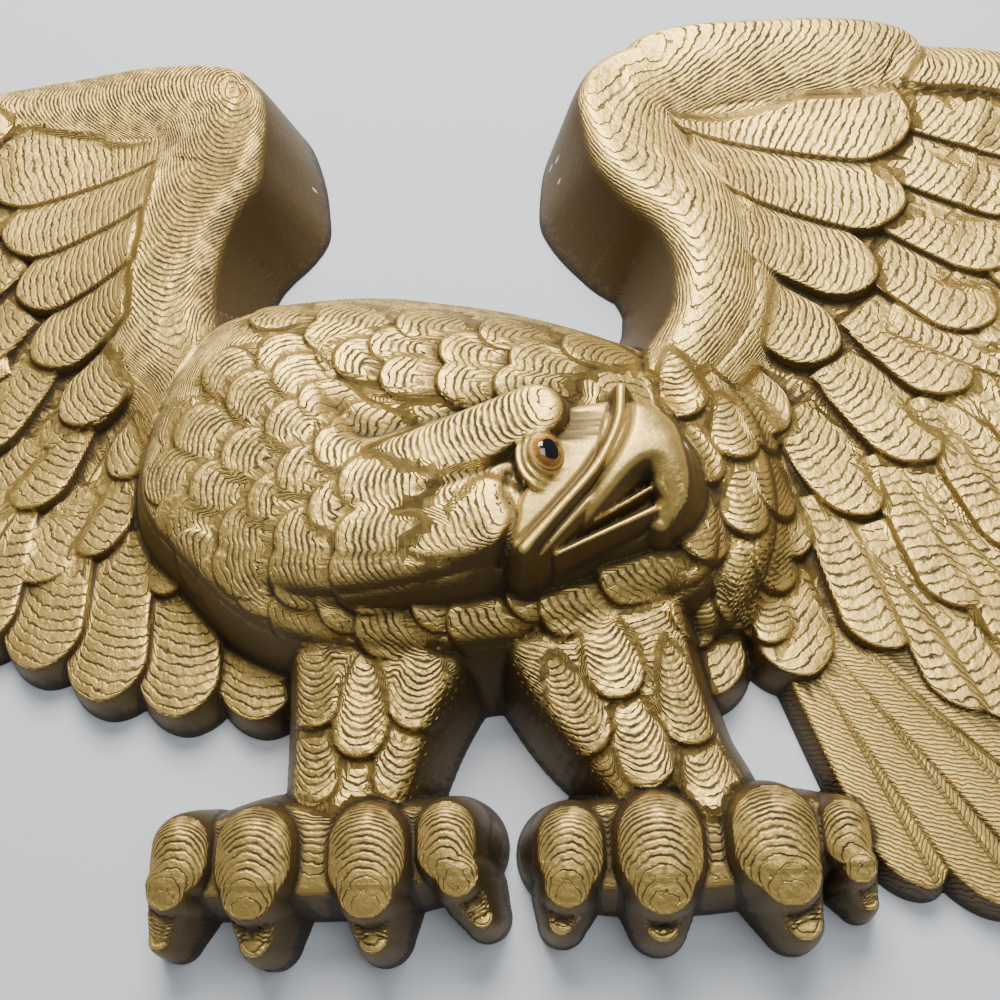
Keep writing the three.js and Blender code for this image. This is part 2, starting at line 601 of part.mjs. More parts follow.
function makeHead() {
  ridge(BROW, BROW_FORM);
  ridge(CHEEK, CHEEK_FORM);
  plateau(CHIN, () => CHIN_FORM.height, CHIN_FORM, CHIN_FORM.height);
  plateau(FACE, (x, z) => FACE_FORM.height - FACE_FORM.fall * (x - FACE_FORM.at)
    - FACE_FORM.bow * (z - FACE_FORM.mid) ** 2, FACE_FORM, FACE_FORM.height);
  plateau(BEAK, (x, z) => BEAK_FORM.height - BEAK_FORM.bowX * (x - BEAK_FORM.at) ** 2
    - BEAK_FORM.bowZ * (z - BEAK_FORM.mid) ** 2, BEAK_FORM, BEAK_FORM.height);
  ridge(HOOK, HOOK_FORM);
  for (const path of [CERE, TONGUE, JAW]) ridge(path, BARE_FORM);
  for (const { path, width, depth } of GROOVES) groove(path, width, depth);
  makeEyeMound();
}

function makeBodyAndNeck() {
  plateau(BODY, (x, z, inside) => {
    const share = THREE.MathUtils.smoothstep(z, BODY_FORM.from, BODY_FORM.to);
    const edge = BODY_FORM.edgeLow + (BODY_FORM.edgeHigh - BODY_FORM.edgeLow) * share;
    return edge + (BODY_FORM.peak - edge) * (1 - Math.exp(-inside / BODY_FORM.spread));
  }, BODY_FORM, BODY_FORM.edgeLow);
  ridge(SHOULDER, SHOULDER_FORM);
  scaleLanes(SHOULDER_LANES);
  scaleLanes(CHEST_LANES);
  plateau(NECK, (x, z, inside) => {
    const u = NECK_FORM.at - x;
    const peak = NECK_FORM.peak - NECK_FORM.fall * u - NECK_FORM.bow * u * Math.max(u, 0);
    return peak - NECK_FORM.edge * Math.exp(-inside / NECK_FORM.spread);
  }, NECK_FORM, NECK_FORM.peak);
  groove(NAPE.path, NAPE.width, NAPE.depth);
  scaleLanes(BACK_LANES);
  scaleLanes(NECK_LANES);
}

function makeRelief() {
  makeWing(wingGround(ARM_RIGHT, LEAD_RIGHT), WEB_RIGHT, ROWS_RIGHT, true);
  makeWing(wingGround(ARM_LEFT, LEAD_LEFT), WEB_LEFT, ROWS_LEFT, false);
  ridge(EDGE_RIGHT, EDGE);
  strap(BAND_RIGHT_TOP, BAND_RIGHT_LOW, BAND);
  strap(ARM_RIGHT_IN, ARM_RIGHT_OUT, ARM);
  ridge(EDGE_LEFT, EDGE);
  strap(BAND_LEFT_TOP, BAND_LEFT_LOW, BAND);
  strap(ARM_LEFT_IN, ARM_LEFT_OUT, ARM);
  for (const leg of LEGS) ridge(leg, LEG_FORM);
  scaleLanes(LEG_LANES);
  for (const foot of FEET) ridge(foot, FOOT_FORM);
  for (const toe of TOES) makeToe(toe);
  makeBodyAndNeck();
  makeHead();
}

// Triangle net over the height grid. It starts as two triangles, and the grid point that is
// worst served goes in each time, with edges turned so that no triangle is needlessly thin.
class Net {
  constructor() {
    this.points = [];
    this.corners = [];
    this.twins = [];
    this.error = [];
    this.choice = [];
    this.fresh = new Set();
    this.weight = slopeWeights();
    const ends = [[0, 0], [COLS - 1, 0], [0, ROWS - 1], [COLS - 1, ROWS - 1]];
    const [lowLeft, lowRight, highLeft, highRight] = ends.map(([i, j]) => this.point(i, j));
    const first = this.triangle(highRight, lowLeft, highLeft, -1, -1, -1);
    this.triangle(lowLeft, highRight, lowRight, first, -1, -1);
  }

  point(i, j) {
    this.points.push([i, j]);
    return this.points.length - 1;
  }

  triangle(a, b, c, ab, bc, ca, e = this.corners.length) {
    [a, b, c].forEach((v, k) => { this.corners[e + k] = v; });
    [ab, bc, ca].forEach((h, k) => {
      this.twins[e + k] = h;
      if (h >= 0) this.twins[h] = e + k;
    });
    this.fresh.add(e / 3);
    return e;
  }

  // Finds the worst served grid point of a triangle
  measure(t) {
    const [p, q, r] = [0, 1, 2].map((k) => this.points[this.corners[3 * t + k]]);
    const area = side(p, q, r);
    const [hp, hq, hr] = [p, q, r].map(([i, j]) => height[j * COLS + i]);
    const span = Math.max(reachOf(p, q), reachOf(q, r), reachOf(r, p));
    let worst = 0;
    let at = p;
    for (let j = Math.min(p[1], q[1], r[1]); j <= Math.max(p[1], q[1], r[1]); j++) {
      for (let i = Math.min(p[0], q[0], r[0]); i <= Math.max(p[0], q[0], r[0]); i++) {
        const here = [i, j];
        const a = side(q, r, here) / area;
        const b = side(r, p, here) / area;
        const c = 1 - a - b;
        if (a < 0 || b < 0 || c < -TINY) continue;
        const index = j * COLS + i;
        const guess = a * hp + b * hq + c * hr;
        const off = missAt(guess, height[index]);
        // a triangle with a long side is split near its middle whatever its miss
        const miss = span > LONGEST_SIDE ? span + Math.min(a, b, c) : off * this.weight[index];
        if (miss > worst) {
          worst = miss;
          at = here;
        }
      }
    }
    const corner = [p, q, r].some(([i, j]) => i === at[0] && j === at[1]);
    this.error[t] = corner ? 0 : worst;
    this.choice[t] = at;
  }

  // Turns the edge shared with a neighbour if that neighbour's far corner is in the circle
  settle(a) {
    const b = this.twins[a];
    if (b < 0) return;
    const a0 = a - (a % 3);
    const b0 = b - (b % 3);
    const al = a0 + ((a + 1) % 3);
    const ar = a0 + ((a + 2) % 3);
    const bl = b0 + ((b + 2) % 3);
    const br = b0 + ((b + 1) % 3);
    const [p0, pr, pl, p1] = [ar, a, al, bl].map((e) => this.corners[e]);
    if (!inCircle(this.points[p0], this.points[pr], this.points[pl], this.points[p1])) return;
    const [hal, har, hbl, hbr] = [al, ar, bl, br].map((e) => this.twins[e]);
    const t0 = this.triangle(p0, p1, pl, -1, hbl, hal, a0);
    const t1 = this.triangle(p1, p0, pr, t0, har, hbr, b0);
    this.settle(t0 + 1);
    this.settle(t1 + 2);
  }

  // Puts a point on an edge, splitting the triangles on both sides
  splitEdge(pn, a) {
    const b = this.twins[a];
    const a0 = a - (a % 3);
    const b0 = b - (b % 3);
    const al = a0 + ((a + 1) % 3);
    const ar = a0 + ((a + 2) % 3);
    const bl = b0 + ((b + 2) % 3);
    const br = b0 + ((b + 1) % 3);
    const [p0, pr, pl, p1] = [ar, a, al, bl].map((e) => this.corners[e]);
    const [hal, har, hbl, hbr] = [al, ar, bl, br].map((e) => this.twins[e]);
    const t0 = this.triangle(p0, pr, pn, har, -1, -1, a0);
    const t1 = this.triangle(pr, p1, pn, hbr, -1, t0 + 1, b0);
    const t2 = this.triangle(p1, pl, pn, hbl, -1, t1 + 1);
    const t3 = this.triangle(pl, p0, pn, hal, t0 + 2, t2 + 1);
    for (const t of [t0, t1, t2, t3]) this.settle(t);
  }

  insert(t) {
    const pn = this.point(...this.choice[t]);
    const at = this.points[pn];
    const e = 3 * t;
    const p = [0, 1, 2].map((k) => this.corners[e + k]);
    const h = [0, 1, 2].map((k) => this.twins[e + k]);
    for (let k = 0; k < 3; k++) {
      if (side(this.points[p[k]], this.points[p[(k + 1) % 3]], at) === 0) {
        this.splitEdge(pn, e + k);
        return;
      }
    }
    const t0 = this.triangle(p[0], p[1], pn, h[0], -1, -1, e);
    const t1 = this.triangle(p[1], p[2], pn, h[1], -1, t0 + 1);
    const t2 = this.triangle(p[2], p[0], pn, h[2], t0 + 2, t1 + 1);
    for (const x of [t0, t1, t2]) this.settle(x);
  }

  grow(count) {
    while (this.points.length < count) {
      for (const t of this.fresh) this.measure(t);
      this.fresh.clear();
      let worst = 0;
      for (let t = 1; t < this.error.length; t++) if (this.error[t] > this.error[worst]) worst = t;
      if (this.error[worst] <= 0) return;
      this.insert(worst);
    }
  }
}

function reachOf(a, b) {
  return Math.hypot(a[0] - b[0], a[1] - b[1]);
}

function side(a, b, c) {
  return (b[0] - c[0]) * (a[1] - c[1]) - (b[1] - c[1]) * (a[0] - c[0]);
}

function inCircle(a, b, c, p) {
  const [dx, dy] = [a[0] - p[0], a[1] - p[1]];
  const [ex, ey] = [b[0] - p[0], b[1] - p[1]];
  const [fx, fy] = [c[0] - p[0], c[1] - p[1]];
  const ap = dx * dx + dy * dy;
  const bp = ex * ex + ey * ey;
  const cp = fx * fx + fy * fy;
  return dx * (ey * cp - bp * fy) - dy * (ex * cp - bp * fx) + ap * (ex * fy - ey * fx) < 0;
}

// Off the casting only a net that stands above the wall plane is wrong, and that goes first
function missAt(guess, real) {
  if (real > OFF_CASTING) return Math.abs(guess - real);
  return guess > BRIDGE_FROM ? BRIDGE_PENALTY + guess : 0;
}

// A miss on a wall counts by its distance from the wall, not by its height
function slopeWeights() {
  const weight = new Float64Array(height.length).fill(1);
  for (let j = 1; j < ROWS - 1; j++) {
    for (let i = 1; i < COLS - 1; i++) {
      const k = j * COLS + i;
      const gx = (height[k + 1] - height[k - 1]) / (2 * FIELD.pitch);
      const gz = (height[k + COLS] - height[k - COLS]) / (2 * FIELD.pitch);
      weight[k] = 1 / Math.sqrt(1 + gx * gx + gz * gz);
    }
  }
  return weight;
}

const wasm = await Module();
wasm.setup();

function toManifold(positions, index) {
  return new wasm.Manifold(new wasm.Mesh({
    numProp: 3, vertProperties: new Float32Array(positions), triVerts: new Uint32Array(index),
  }));
}

function fromManifold(solid) {
  const mesh = solid.getMesh();
  const out = new THREE.BufferGeometry();
  out.setAttribute("position", new THREE.BufferAttribute(new Float32Array(mesh.vertProperties), 3));
  out.setIndex(new THREE.BufferAttribute(new Uint32Array(mesh.triVerts), 1));
  return out;
}

// Block whose front is the relief and whose back is a plane behind the wall
function reliefBlock(net) {
  const positions = [];
  for (const [i, j] of net.points) {
    let h = height[j * COLS + i];
    if (Math.abs(h) < CLEAR_OF_WALL) h = h < 0 ? -CLEAR_OF_WALL : CLEAR_OF_WALL;
    positions.push(FIELD.x0 + i * FIELD.pitch, -h, FIELD.z0 + j * FIELD.pitch);
  }
  const front = net.corners;
  const base = positions.length / 3;
  for (let k = 0; k < 4; k++) {
    positions.push(positions[3 * k], BACKING, positions[3 * k + 2]);
  }
  // corners of the net are points 0 to 3: low left, low right, high left, high right
  const index = [];
  for (let t = 0; t < front.length; t += 3) index.push(front[t], front[t + 2], front[t + 1]);
  const quad = (a, b, c, d) => index.push(a, b, c, a, c, d);
  quad(base + 1, base, base + 2, base + 3);
  quad(0, base, base + 1, 1);
  quad(1, base + 1, base + 3, 3);
  quad(3, base + 3, base + 2, 2);
  quad(2, base + 2, base, 0);
  const block = toManifold(positions, index);
  if (block.volume() > 0) return block;
  const turned = [];
  for (let t = 0; t < index.length; t += 3) turned.push(index[t], index[t + 2], index[t + 1]);
  return toManifold(positions, turned);
}

function boxSolid(x0, x1, y0, y1, z0, z1) {
  const box = new THREE.BoxGeometry(x1 - x0, y1 - y0, z1 - z0);
  box.translate((x0 + x1) / 2, (y0 + y1) / 2, (z0 + z1) / 2);
  return closedSolid(box);
}

// Welds a three.js geometry by position and hands it over as one closed solid
function closedSolid(geometry) {
  const flat = geometry.index ? geometry.toNonIndexed() : geometry;
  const source = flat.getAttribute("position");
  const seen = new Map();
  const positions = [];
  const index = [];
  for (let i = 0; i < source.count; i++) {
    const p = [source.getX(i), source.getY(i), source.getZ(i)].map((v) => Math.round(v * 1e4) / 1e4);
    const key = p.join();
    if (!seen.has(key)) {
      seen.set(key, positions.length / 3);
      positions.push(...p);
    }
    index.push(seen.get(key));
  }
  const kept = [];
  for (let t = 0; t < index.length; t += 3) {
    const [a, b, c] = index.slice(t, t + 3);
    if (a !== b && b !== c && a !== c) kept.push(a, b, c);
  }
  return toManifold(positions, kept);
}

// Lens: a turned glass cabochon with a narrow rim, grown by a margin for its socket
function lensGeometry(margin) {
  const back = -EYE.back - margin;
  const side = EYE.radius + margin;
  const edge = EYE.radius - EYE.rim;
  const profile = [[0, back], [side, back], [side, margin]].map(([x, y]) => new THREE.Vector2(x, y));
  for (let k = 0; k <= LENS_RINGS; k++) {
    const a = (Math.PI / 2) * (k / LENS_RINGS);
    const rise = EYE.step + margin + EYE.dome * Math.sin(a);
    profile.push(new THREE.Vector2((edge + margin) * Math.cos(a), rise));
  }
  profile[profile.length - 1].x = 0;
  const lens = new THREE.LatheGeometry(profile, LENS_SIDES);
  // the lathe turns about Y: point it at the viewer, then outwards
  lens.rotateX(Math.PI);
  lens.rotateZ(THREE.MathUtils.degToRad(EYE.turn));
  lens.translate(EYE.x, EYE.y, EYE.z);
  return lens;
}

makeRelief();
const net = new Net();
net.grow(RELIEF_POINTS);
const keptX = [FIELD.x0 - KEEP.side, FIELD.x1 + KEEP.side];
const keptZ = [FIELD.z0 - KEEP.side, FIELD.z1 + KEEP.side];
const front = boxSolid(...keptX, -KEEP.depth, 0, ...keptZ);
const cut = reliefBlock(net).intersect(front);
const whole = cut.decompose().sort((a, b) => b.volume() - a.volume())[0];
const lens = closedSolid(lensGeometry(0));
const socket = closedSolid(lensGeometry(EYE.gap));
const casting = whole.subtract(socket);
const castingBody = casting.decompose().sort((a, b) => b.volume() - a.volume())[0];

const plaque = new THREE.Group();
plaque.name = "eagle_plaque";

const gold = new THREE.MeshStandardMaterial({ color: 0xb08d45, metalness: 0.6, roughness: 0.45 });
const castingMesh = new THREE.Mesh(fromManifold(castingBody), gold);
castingMesh.name = "eagle_casting";
plaque.add(castingMesh);

const glass = new THREE.MeshStandardMaterial({ color: 0xc47a1e, metalness: 0, roughness: 0.08 });
const eyeMesh = new THREE.Mesh(fromManifold(lens), glass);
eyeMesh.name = "glass_eye";
plaque.add(eyeMesh);

export default plaque;
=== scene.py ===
"""Eagle wall plaque: a gilded relief casting with an inset glass eye, on a pale wall.

The casting is one relief. Its surface stands H(x, z) millimetres off the wall plane Y = 0,
towards -Y, and is put together from ridges, straps, plateaus and overlapping feathers.
"""

import math

import bmesh
import bpy
import numpy as np
from bpy.props import FloatProperty, FloatVectorProperty, IntProperty, PointerProperty
from mathutils import Matrix, Vector


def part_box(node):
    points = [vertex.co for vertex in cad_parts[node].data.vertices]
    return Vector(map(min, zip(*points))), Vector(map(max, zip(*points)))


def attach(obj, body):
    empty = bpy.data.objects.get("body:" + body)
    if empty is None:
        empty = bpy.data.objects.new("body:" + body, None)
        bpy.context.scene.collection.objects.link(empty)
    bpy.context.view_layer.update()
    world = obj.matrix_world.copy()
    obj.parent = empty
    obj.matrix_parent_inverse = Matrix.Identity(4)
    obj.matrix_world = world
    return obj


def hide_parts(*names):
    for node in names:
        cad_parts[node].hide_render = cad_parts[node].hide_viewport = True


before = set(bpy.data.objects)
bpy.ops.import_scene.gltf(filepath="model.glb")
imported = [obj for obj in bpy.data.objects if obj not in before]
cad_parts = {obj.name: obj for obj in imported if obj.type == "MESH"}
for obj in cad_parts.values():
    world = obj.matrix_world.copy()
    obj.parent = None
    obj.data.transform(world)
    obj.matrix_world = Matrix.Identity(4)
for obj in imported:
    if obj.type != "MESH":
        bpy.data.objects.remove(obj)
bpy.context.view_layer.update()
CASTING_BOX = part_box("eagle_casting")

bl_info = {
    "name": "Eagle wall plaque",
    "version": (1, 0, 0),
    "blender": (4, 5, 0),
    "location": "View3D > Sidebar > Eagle plaque",
    "description": "Gilded eagle relief with a glass eye, on a pale wall",
    "category": "Object",
}

MM = 0.001
# Field that the relief is worked out on, in millimetres, and its height off the casting
FIELD = {"x0": -410, "x1": 410, "z0": -208, "z1": 236}
FLOOR = -24.0
# A grid point just outside the relief slides at most this share of the grid's pitch
SLIDE = 0.9
# Triangles left over for the rim and the back when the front is thinned
RIM_AND_BACK = 12000
# Faces whose normal is this near to straight back are the flat back
LEVEL = 0.001
# Blur radii of the marks in millimetres, and how many cells the least slope is looked for in
BLUR = {"ring": 0.8, "proud": 1.5, "proud_wide": 7.0}
LEAST_REACH = 3

# Points of the curves per span: ridges, outlines, rows of feathers, lanes of scales
SPANS = {"ridge": 8, "outline": 6, "row": 20, "lane": 12}
# Spare room in millimetres round the part of the grid that a form is worked out on
SPARE = {"form": 4, "feather": 10}
# A feather starts this share of its half width before its root, and is never worked out
# further across than this many half widths
FEATHER_ROOT = 0.3
FEATHER_ACROSS = 1.2
# A ridge's crown isn't taken further out than this many half widths
RIDGE_ACROSS = 1.3
# A scale whose lane ends before this share of its length is left out
SHORTEST_SCALE = 0.5
# A groove is cut out to this many of its widths
GROOVE_ACROSS = 3
# A feather's rounded end takes at most this share of its length
LONGEST_NOSE = 0.9
# A form blends into what is there where the two differ by less than this many mixes
BLEND_REACH = 6
# A form sets its marks where it comes this near to the surface, in millimetres
MARK_REACH = 0.01
# Least part of the normal along Y that the slope off the wall is worked out from
LEAST_FACING = 0.05
# Keeps divisions away from zero, and samples inside the last cell of the grid
TINY = 1e-9
LAST_CELL = 1.001

# Wing ground: paths of x, z and rise that the feathers' ground falls away from
GROUND = {"level": 9, "fade": 56, "mix": 4}
ARM_RIGHT = [
    [98, 172, 24], [106, 156, 24], [116, 137, 24], [126, 116, 25], [131, 92, 25],
    [129, 64, 24], [118, 40, 22], [106, 5, 16], [100, -40, 12], [98, -80, 8],
]
LEAD_RIGHT = [
    [112, 184, 20], [160, 190, 22], [215, 190, 18], [265, 182, 13], [310, 155, 9],
    [350, 105, 6], [372, 50, 4],
]
ARM_LEFT = [
    [-116, 178, 24], [-124, 158, 24], [-134, 133, 24], [-138, 110, 25], [-138, 75, 24],
    [-131, 50, 22], [-118, 30, 20], [-112, 0, 16], [-97, -45, 12], [-60, -75, 8], [-45, -90, 6],
]
LEAD_LEFT = [
    [-122, 185, 20], [-160, 190, 20], [-215, 190, 15], [-265, 180, 11], [-310, 155, 8],
    [-350, 105, 6], [-372, 50, 4],
]

# Plain web under the feathers of each wing
WEB = {"under": 1.5, "slope": 3.5, "round": 1, "reach": 35}
WEB_RIGHT = [
    [100, 190], [230, 188], [300, 150], [345, 90], [362, 30], [330, -25], [280, -65],
    [215, -85], [150, -80], [112, -78], [98, -30], [105, 50],
]
WEB_LEFT = [
    [-100, 190], [-230, 188], [-300, 150], [-345, 90], [-362, 30], [-330, -25], [-280, -55],
    [-225, -60], [-170, -60], [-120, -80], [-60, -85], [-100, -30], [-120, 50],
]

# Rows of wing feathers, outermost row first: n feathers spread evenly from a curve of roots
# to a curve of tips, half width from w0 to w1, root and tip lift off the ground,
# tilt raising the lower edge, nose the length of the rounded end in half widths
ROWS_RIGHT = [
    {
        "roots": [[205, 60], [225, 20], [215, -20], [190, -50]],
        "tips": [[396, -26], [352, -88], [290, -112], [222, -116]],
        "n": 8, "w0": 20, "w1": 18, "low": 1, "lift": 2, "crown": 1.2, "tilt": -2.2, "nose": 1.4,
    },
    {
        "roots": [[275, 170], [270, 90], [235, 20], [185, -40]],
        "tips": [[372, 40], [342, -8], [290, -52], [208, -112]],
        "n": 8, "w0": 22, "w1": 18, "low": 1, "lift": 2.6, "crown": 1.3, "tilt": -2, "nose": 1,
    },
    {
        "roots": [[250, 175], [240, 110], [225, 40], [185, -15], [130, -40], [100, -50]],
        "tips": [[345, 92], [318, 40], [285, -10], [212, -72], [160, -94], [108, -105]],
        "n": 10, "w0": 22, "w1": 15, "low": 1, "lift": 3, "crown": 1.4, "tilt": -2, "nose": 1,
    },
    {
        "roots": [[215, 180], [210, 120], [190, 60], [160, 15], [130, 0], [106, -30]],
        "tips": [[296, 150], [262, 92], [236, 44], [203, -14], [155, -46], [112, -66]],
        "n": 9, "w0": 23, "w1": 14, "low": 1, "lift": 3.6, "crown": 1.3, "tilt": -2, "nose": 1.1,
    },
    {
        "roots": [[112, 174], [124, 132], [129, 85], [123, 45], [110, 15], [96, 0]],
        "tips": [[222, 160], [212, 112], [187, 64], [154, 12], [131, -10], [116, -29]],
        "n": 6, "w0": 25, "w1": 12, "low": 2, "lift": 4, "crown": 1, "tilt": -1.3, "nose": 1.1,
    },
]
ROWS_LEFT = [
    {
        "roots": [[-205, 60], [-225, 20], [-215, -10], [-190, -30]],
        "tips": [[-396, -26], [-352, -80], [-300, -98], [-240, -92]],
        "n": 8, "w0": 20, "w1": 18, "low": 1, "lift": 2, "crown": 1.2, "tilt": 2.2, "nose": 1.4,
    },
    {
        "roots": [[-275, 170], [-270, 90], [-235, 20], [-160, -20], [-110, -48], [-72, -50]],
        "tips": [[-372, 40], [-342, -8], [-290, -52], [-174, -83], [-120, -105], [-67, -110]],
        "n": 12, "w0": 22, "w1": 17, "low": 1, "lift": 2.6, "crown": 1.3, "tilt": 1.9, "nose": 1,
    },
    {
        "roots": [[-250, 175], [-240, 110], [-225, 60], [-185, 15], [-150, -15]],
        "tips": [[-345, 92], [-318, 40], [-275, 0], [-215, -38], [-172, -50]],
        "n": 7, "w0": 22, "w1": 16, "low": 1, "lift": 2.8, "crown": 1.4, "tilt": 2, "nose": 1,
    },
    {
        "roots": [[-215, 180], [-210, 120], [-190, 60], [-150, 15], [-125, -5], [-108, -20]],
        "tips": [[-296, 150], [-262, 95], [-235, 40], [-184, -14], [-136, -47], [-108, -60]],
        "n": 8, "w0": 22, "w1": 14, "low": 1, "lift": 3.6, "crown": 1.3, "tilt": 2, "nose": 1.1,
    },
    {
        "roots": [[-114, 176], [-128, 132], [-133, 97], [-135, 66], [-125, 42], [-112, 22]],
        "tips": [[-226, 158], [-210, 122], [-193, 80], [-180, 48], [-161, 18], [-137, -7]],
        "n": 6, "w0": 24, "w1": 13, "low": 2, "lift": 4, "crown": 1, "tilt": 1.3, "nose": 1.1,
    },
]
FEATHER = {"slope": 3, "round": 1.1, "taper": 0.8, "blunt": 1.75, "rise": 1.2}

# Tail fan: long feathers out of one point, turned by an even step
TAIL = {
    "apex": [122, -30], "first": 68.5, "step": 8.2,
    "root": 30, "lengths": [154, 172, 178, 178, 172, 160, 145], "halfWidth": 15.5,
    "level": 11, "lift": 1.5, "crown": 1.5, "tilt": -2.2, "nose": 1.6, "taper": 0.45, "blunt": 1.7,
}

# Leading edges beyond the wrist: x, z, half width, height
EDGE_RIGHT = [
    [226, 190, 14, 29], [270, 184, 14, 26], [315, 152, 13, 22], [350, 106, 12, 19], [372, 50, 11, 16],
]
EDGE_LEFT = [
    [-226, 190, 15, 27], [-270, 184, 14, 25], [-315, 152, 13, 21], [-350, 106, 12, 18], [-372, 50, 11, 15],
]
EDGE = {"slope": 4, "round": 3, "crown": 3, "blend": 0, "power": 2}

# Folded arm of each wing, ruled between two edges of x, z, height: the band along the top,
# then the arm from wrist to shoulder
BAND = {"crown": 4, "slope": 3.5, "ease": 1.4, "round": 5, "blend": 2.5}
# the arm's inner wall is steep beside the wrist and flatter below it; beside their second
# edge both straps ease down onto the feathers
ARM = {"crown": 3, "slope": 1.75, "ease": 1.2, "round": 6, "blend": 3, "steep": 3.4, "from": 122, "to": 182}
# share of a strap's width over which its wall changes from one edge's draft to the other's
EASE_FROM = 0.55
EASE_TO = 0.8
BAND_RIGHT_TOP = [
    [84, 184, 44], [91, 194, 47], [100, 200, 48], [115, 204, 48], [135, 206, 47], [160, 209, 44],
    [185, 211, 41], [205, 211, 38], [222, 208, 34], [231, 202, 30],
]
BAND_RIGHT_LOW = [
    [92, 152, 42], [112, 160, 35], [136, 168, 32], [168, 172, 29], [200, 172, 27], [222, 178, 26],
    [231, 190, 27],
]
ARM_RIGHT_IN = [
    [86, 190, 49], [76, 182, 51], [70, 173, 52], [67, 160, 52], [70, 145, 51], [77, 126, 50],
    [89, 109, 48], [101, 97, 46], [108, 80, 45], [108, 62, 44], [104, 48, 44], [94, 32, 44],
    [84, 18, 44],
]
ARM_RIGHT_OUT = [
    [136, 200, 44], [128, 184, 38], [113, 165, 34], [118, 144, 33], [132, 122, 33], [137, 99, 34],
    [138, 78, 34], [137, 57, 34], [126, 36, 36], [114, 20, 38], [108, 8, 40],
]
BAND_LEFT_TOP = [
    [-86, 184, 50], [-92, 190, 51], [-108, 197, 49], [-125, 201, 46], [-150, 206, 40], [-180, 211, 32],
    [-220, 213, 25], [-250, 210, 22],
]
BAND_LEFT_LOW = [
    [-95, 152, 41], [-122, 162, 35], [-148, 169, 31], [-180, 175, 26], [-215, 182, 21], [-250, 190, 19],
]
ARM_LEFT_IN = [
    [-92, 190, 49], [-84, 182, 51], [-79, 172, 52], [-77, 158, 52], [-79, 145, 51], [-83, 130, 49],
    [-92, 117, 46], [-99, 103, 42], [-103, 86, 39], [-103, 67, 37], [-99, 51, 38], [-92, 36, 40],
    [-84, 20, 42],
]
ARM_LEFT_OUT = [
    [-146, 199, 42], [-140, 182, 36], [-133, 161, 33], [-139, 140, 32], [-143, 117, 31], [-145, 95, 31],
    [-144, 74, 31], [-138, 47, 32], [-122, 29, 34], [-112, 12, 38],
]

# Body and neck outlines at their front edge
BODY = [
    [-119, 0], [-115, 32], [-98, 57], [-83, 65], [-61, 70], [-25, 71], [7, 66], [37, 59], [72, 46], [95, 32],
    [108, 0], [112, -35], [106, -66], [79, -76], [50, -86], [21, -91], [-8, -92], [-41, -88], [-60, -81],
    [-76, -71], [-93, -54], [-108, -38], [-116, -22],
]
BODY_FORM = {
    "edgeLow": 44, "edgeHigh": 30, "from": -40, "to": 20, "peak": 60, "spread": 22,
    "slope": 2.6, "round": 5, "blend": 2,
}
# Shoulder that the right wing's small feathers climb, beside the beak: x, z, half width, height
SHOULDER = [
    [102, 24, 14, 40], [112, -6, 17, 43], [114, -36, 17, 43], [110, -57, 15, 39], [106, -70, 11, 31],
]
SHOULDER_FORM = {"slope": 1.3, "round": 6, "crown": 5, "blend": 3, "power": 2}
NECK = [
    [-112, -8], [-107, -36], [-96, -50], [-80, -61], [-60, -69], [-31, -75], [8, -72], [30, -66], [40, -60],
    [44, -20], [52, -6], [40, -3], [20, -6], [0, -9], [-20, -12], [-29, -3], [-42, 15], [-60, 29],
    [-84, 32], [-102, 18],
]
NECK_FORM = {
    "peak": 80, "at": 40, "fall": 0.09, "bow": 0.0011, "edge": 8, "spread": 9,
    "slope": 2.4, "round": 5, "blend": 1.5,
}
NAPE = {
    "path": [[-33, -1], [-24, -11], [-12, -12], [8, -6], [34, 1], [60, 4]], "width": 5, "depth": 3.6,
}

# Scale feathers laid along guide curves that run the way the tips point
SCALE = {"sink": 0.3, "slope": 3, "round": 0.8, "nose": 1.05, "taper": 0.75, "blunt": 2}
CHEST_LANES = {
    "guides": [
        [[102, -62], [70, -70], [30, -76], [-20, -78], [-60, -70], [-95, -50]],
        [[96, -68], [60, -78], [20, -84], [-30, -84], [-70, -70], [-95, -54]],
    ],
    "n": 6, "w": 10, "length": 38, "lift": 3, "crown": 1,
}
SHOULDER_LANES = {
    "guides": [
        [[127, 24], [135, -12], [136, -48], [127, -86]],
        [[112, 30], [120, -4], [123, -40], [114, -90]],
        [[97, 34], [103, 0], [106, -36], [99, -88]],
    ],
    "n": 4, "w": 11, "length": 36, "lift": 3, "crown": 1.6,
}
BACK_LANES = {
    "guides": [
        [[92, 22], [55, 33], [15, 40], [-30, 47], [-75, 55]],
        [[85, 12], [50, 21], [15, 27], [-20, 31], [-52, 42]],
        [[66, 6], [30, 9], [5, 12], [-18, 16], [-40, 32]],
    ],
    "n": 5, "w": 11.5, "length": 38, "lift": 2.9, "crown": 1,
}
NECK_LANES = {
    "guides": [
        [[6, -18], [-22, -14], [-45, 10], [-62, 36]],
        [[14, -28], [-24, -24], [-58, -2], [-86, 30]],
        [[14, -40], [-30, -35], [-70, -16], [-106, 8]],
        [[16, -50], [-30, -46], [-72, -32], [-110, -18]],
        [[14, -60], [-30, -57], [-70, -48], [-104, -38]],
        [[24, -68], [-20, -70], [-60, -63], [-94, -50]],
    ],
    "n": 5, "w": 12.5, "length": 42, "lift": 3.2, "crown": 1,
}
LEG_LANES = {
    "guides": [
        [[-42, -74], [-40, -108], [-40, -152]], [[-20, -70], [-22, -108], [-26, -158]],
        [[4, -76], [-2, -108], [-12, -150]],
        [[38, -76], [52, -108], [70, -152]], [[60, -68], [70, -103], [86, -158]],
        [[84, -70], [91, -103], [104, -150]],
    ],
    "n": 3, "w": 11, "length": 44, "lift": 3, "crown": 1.6,
}

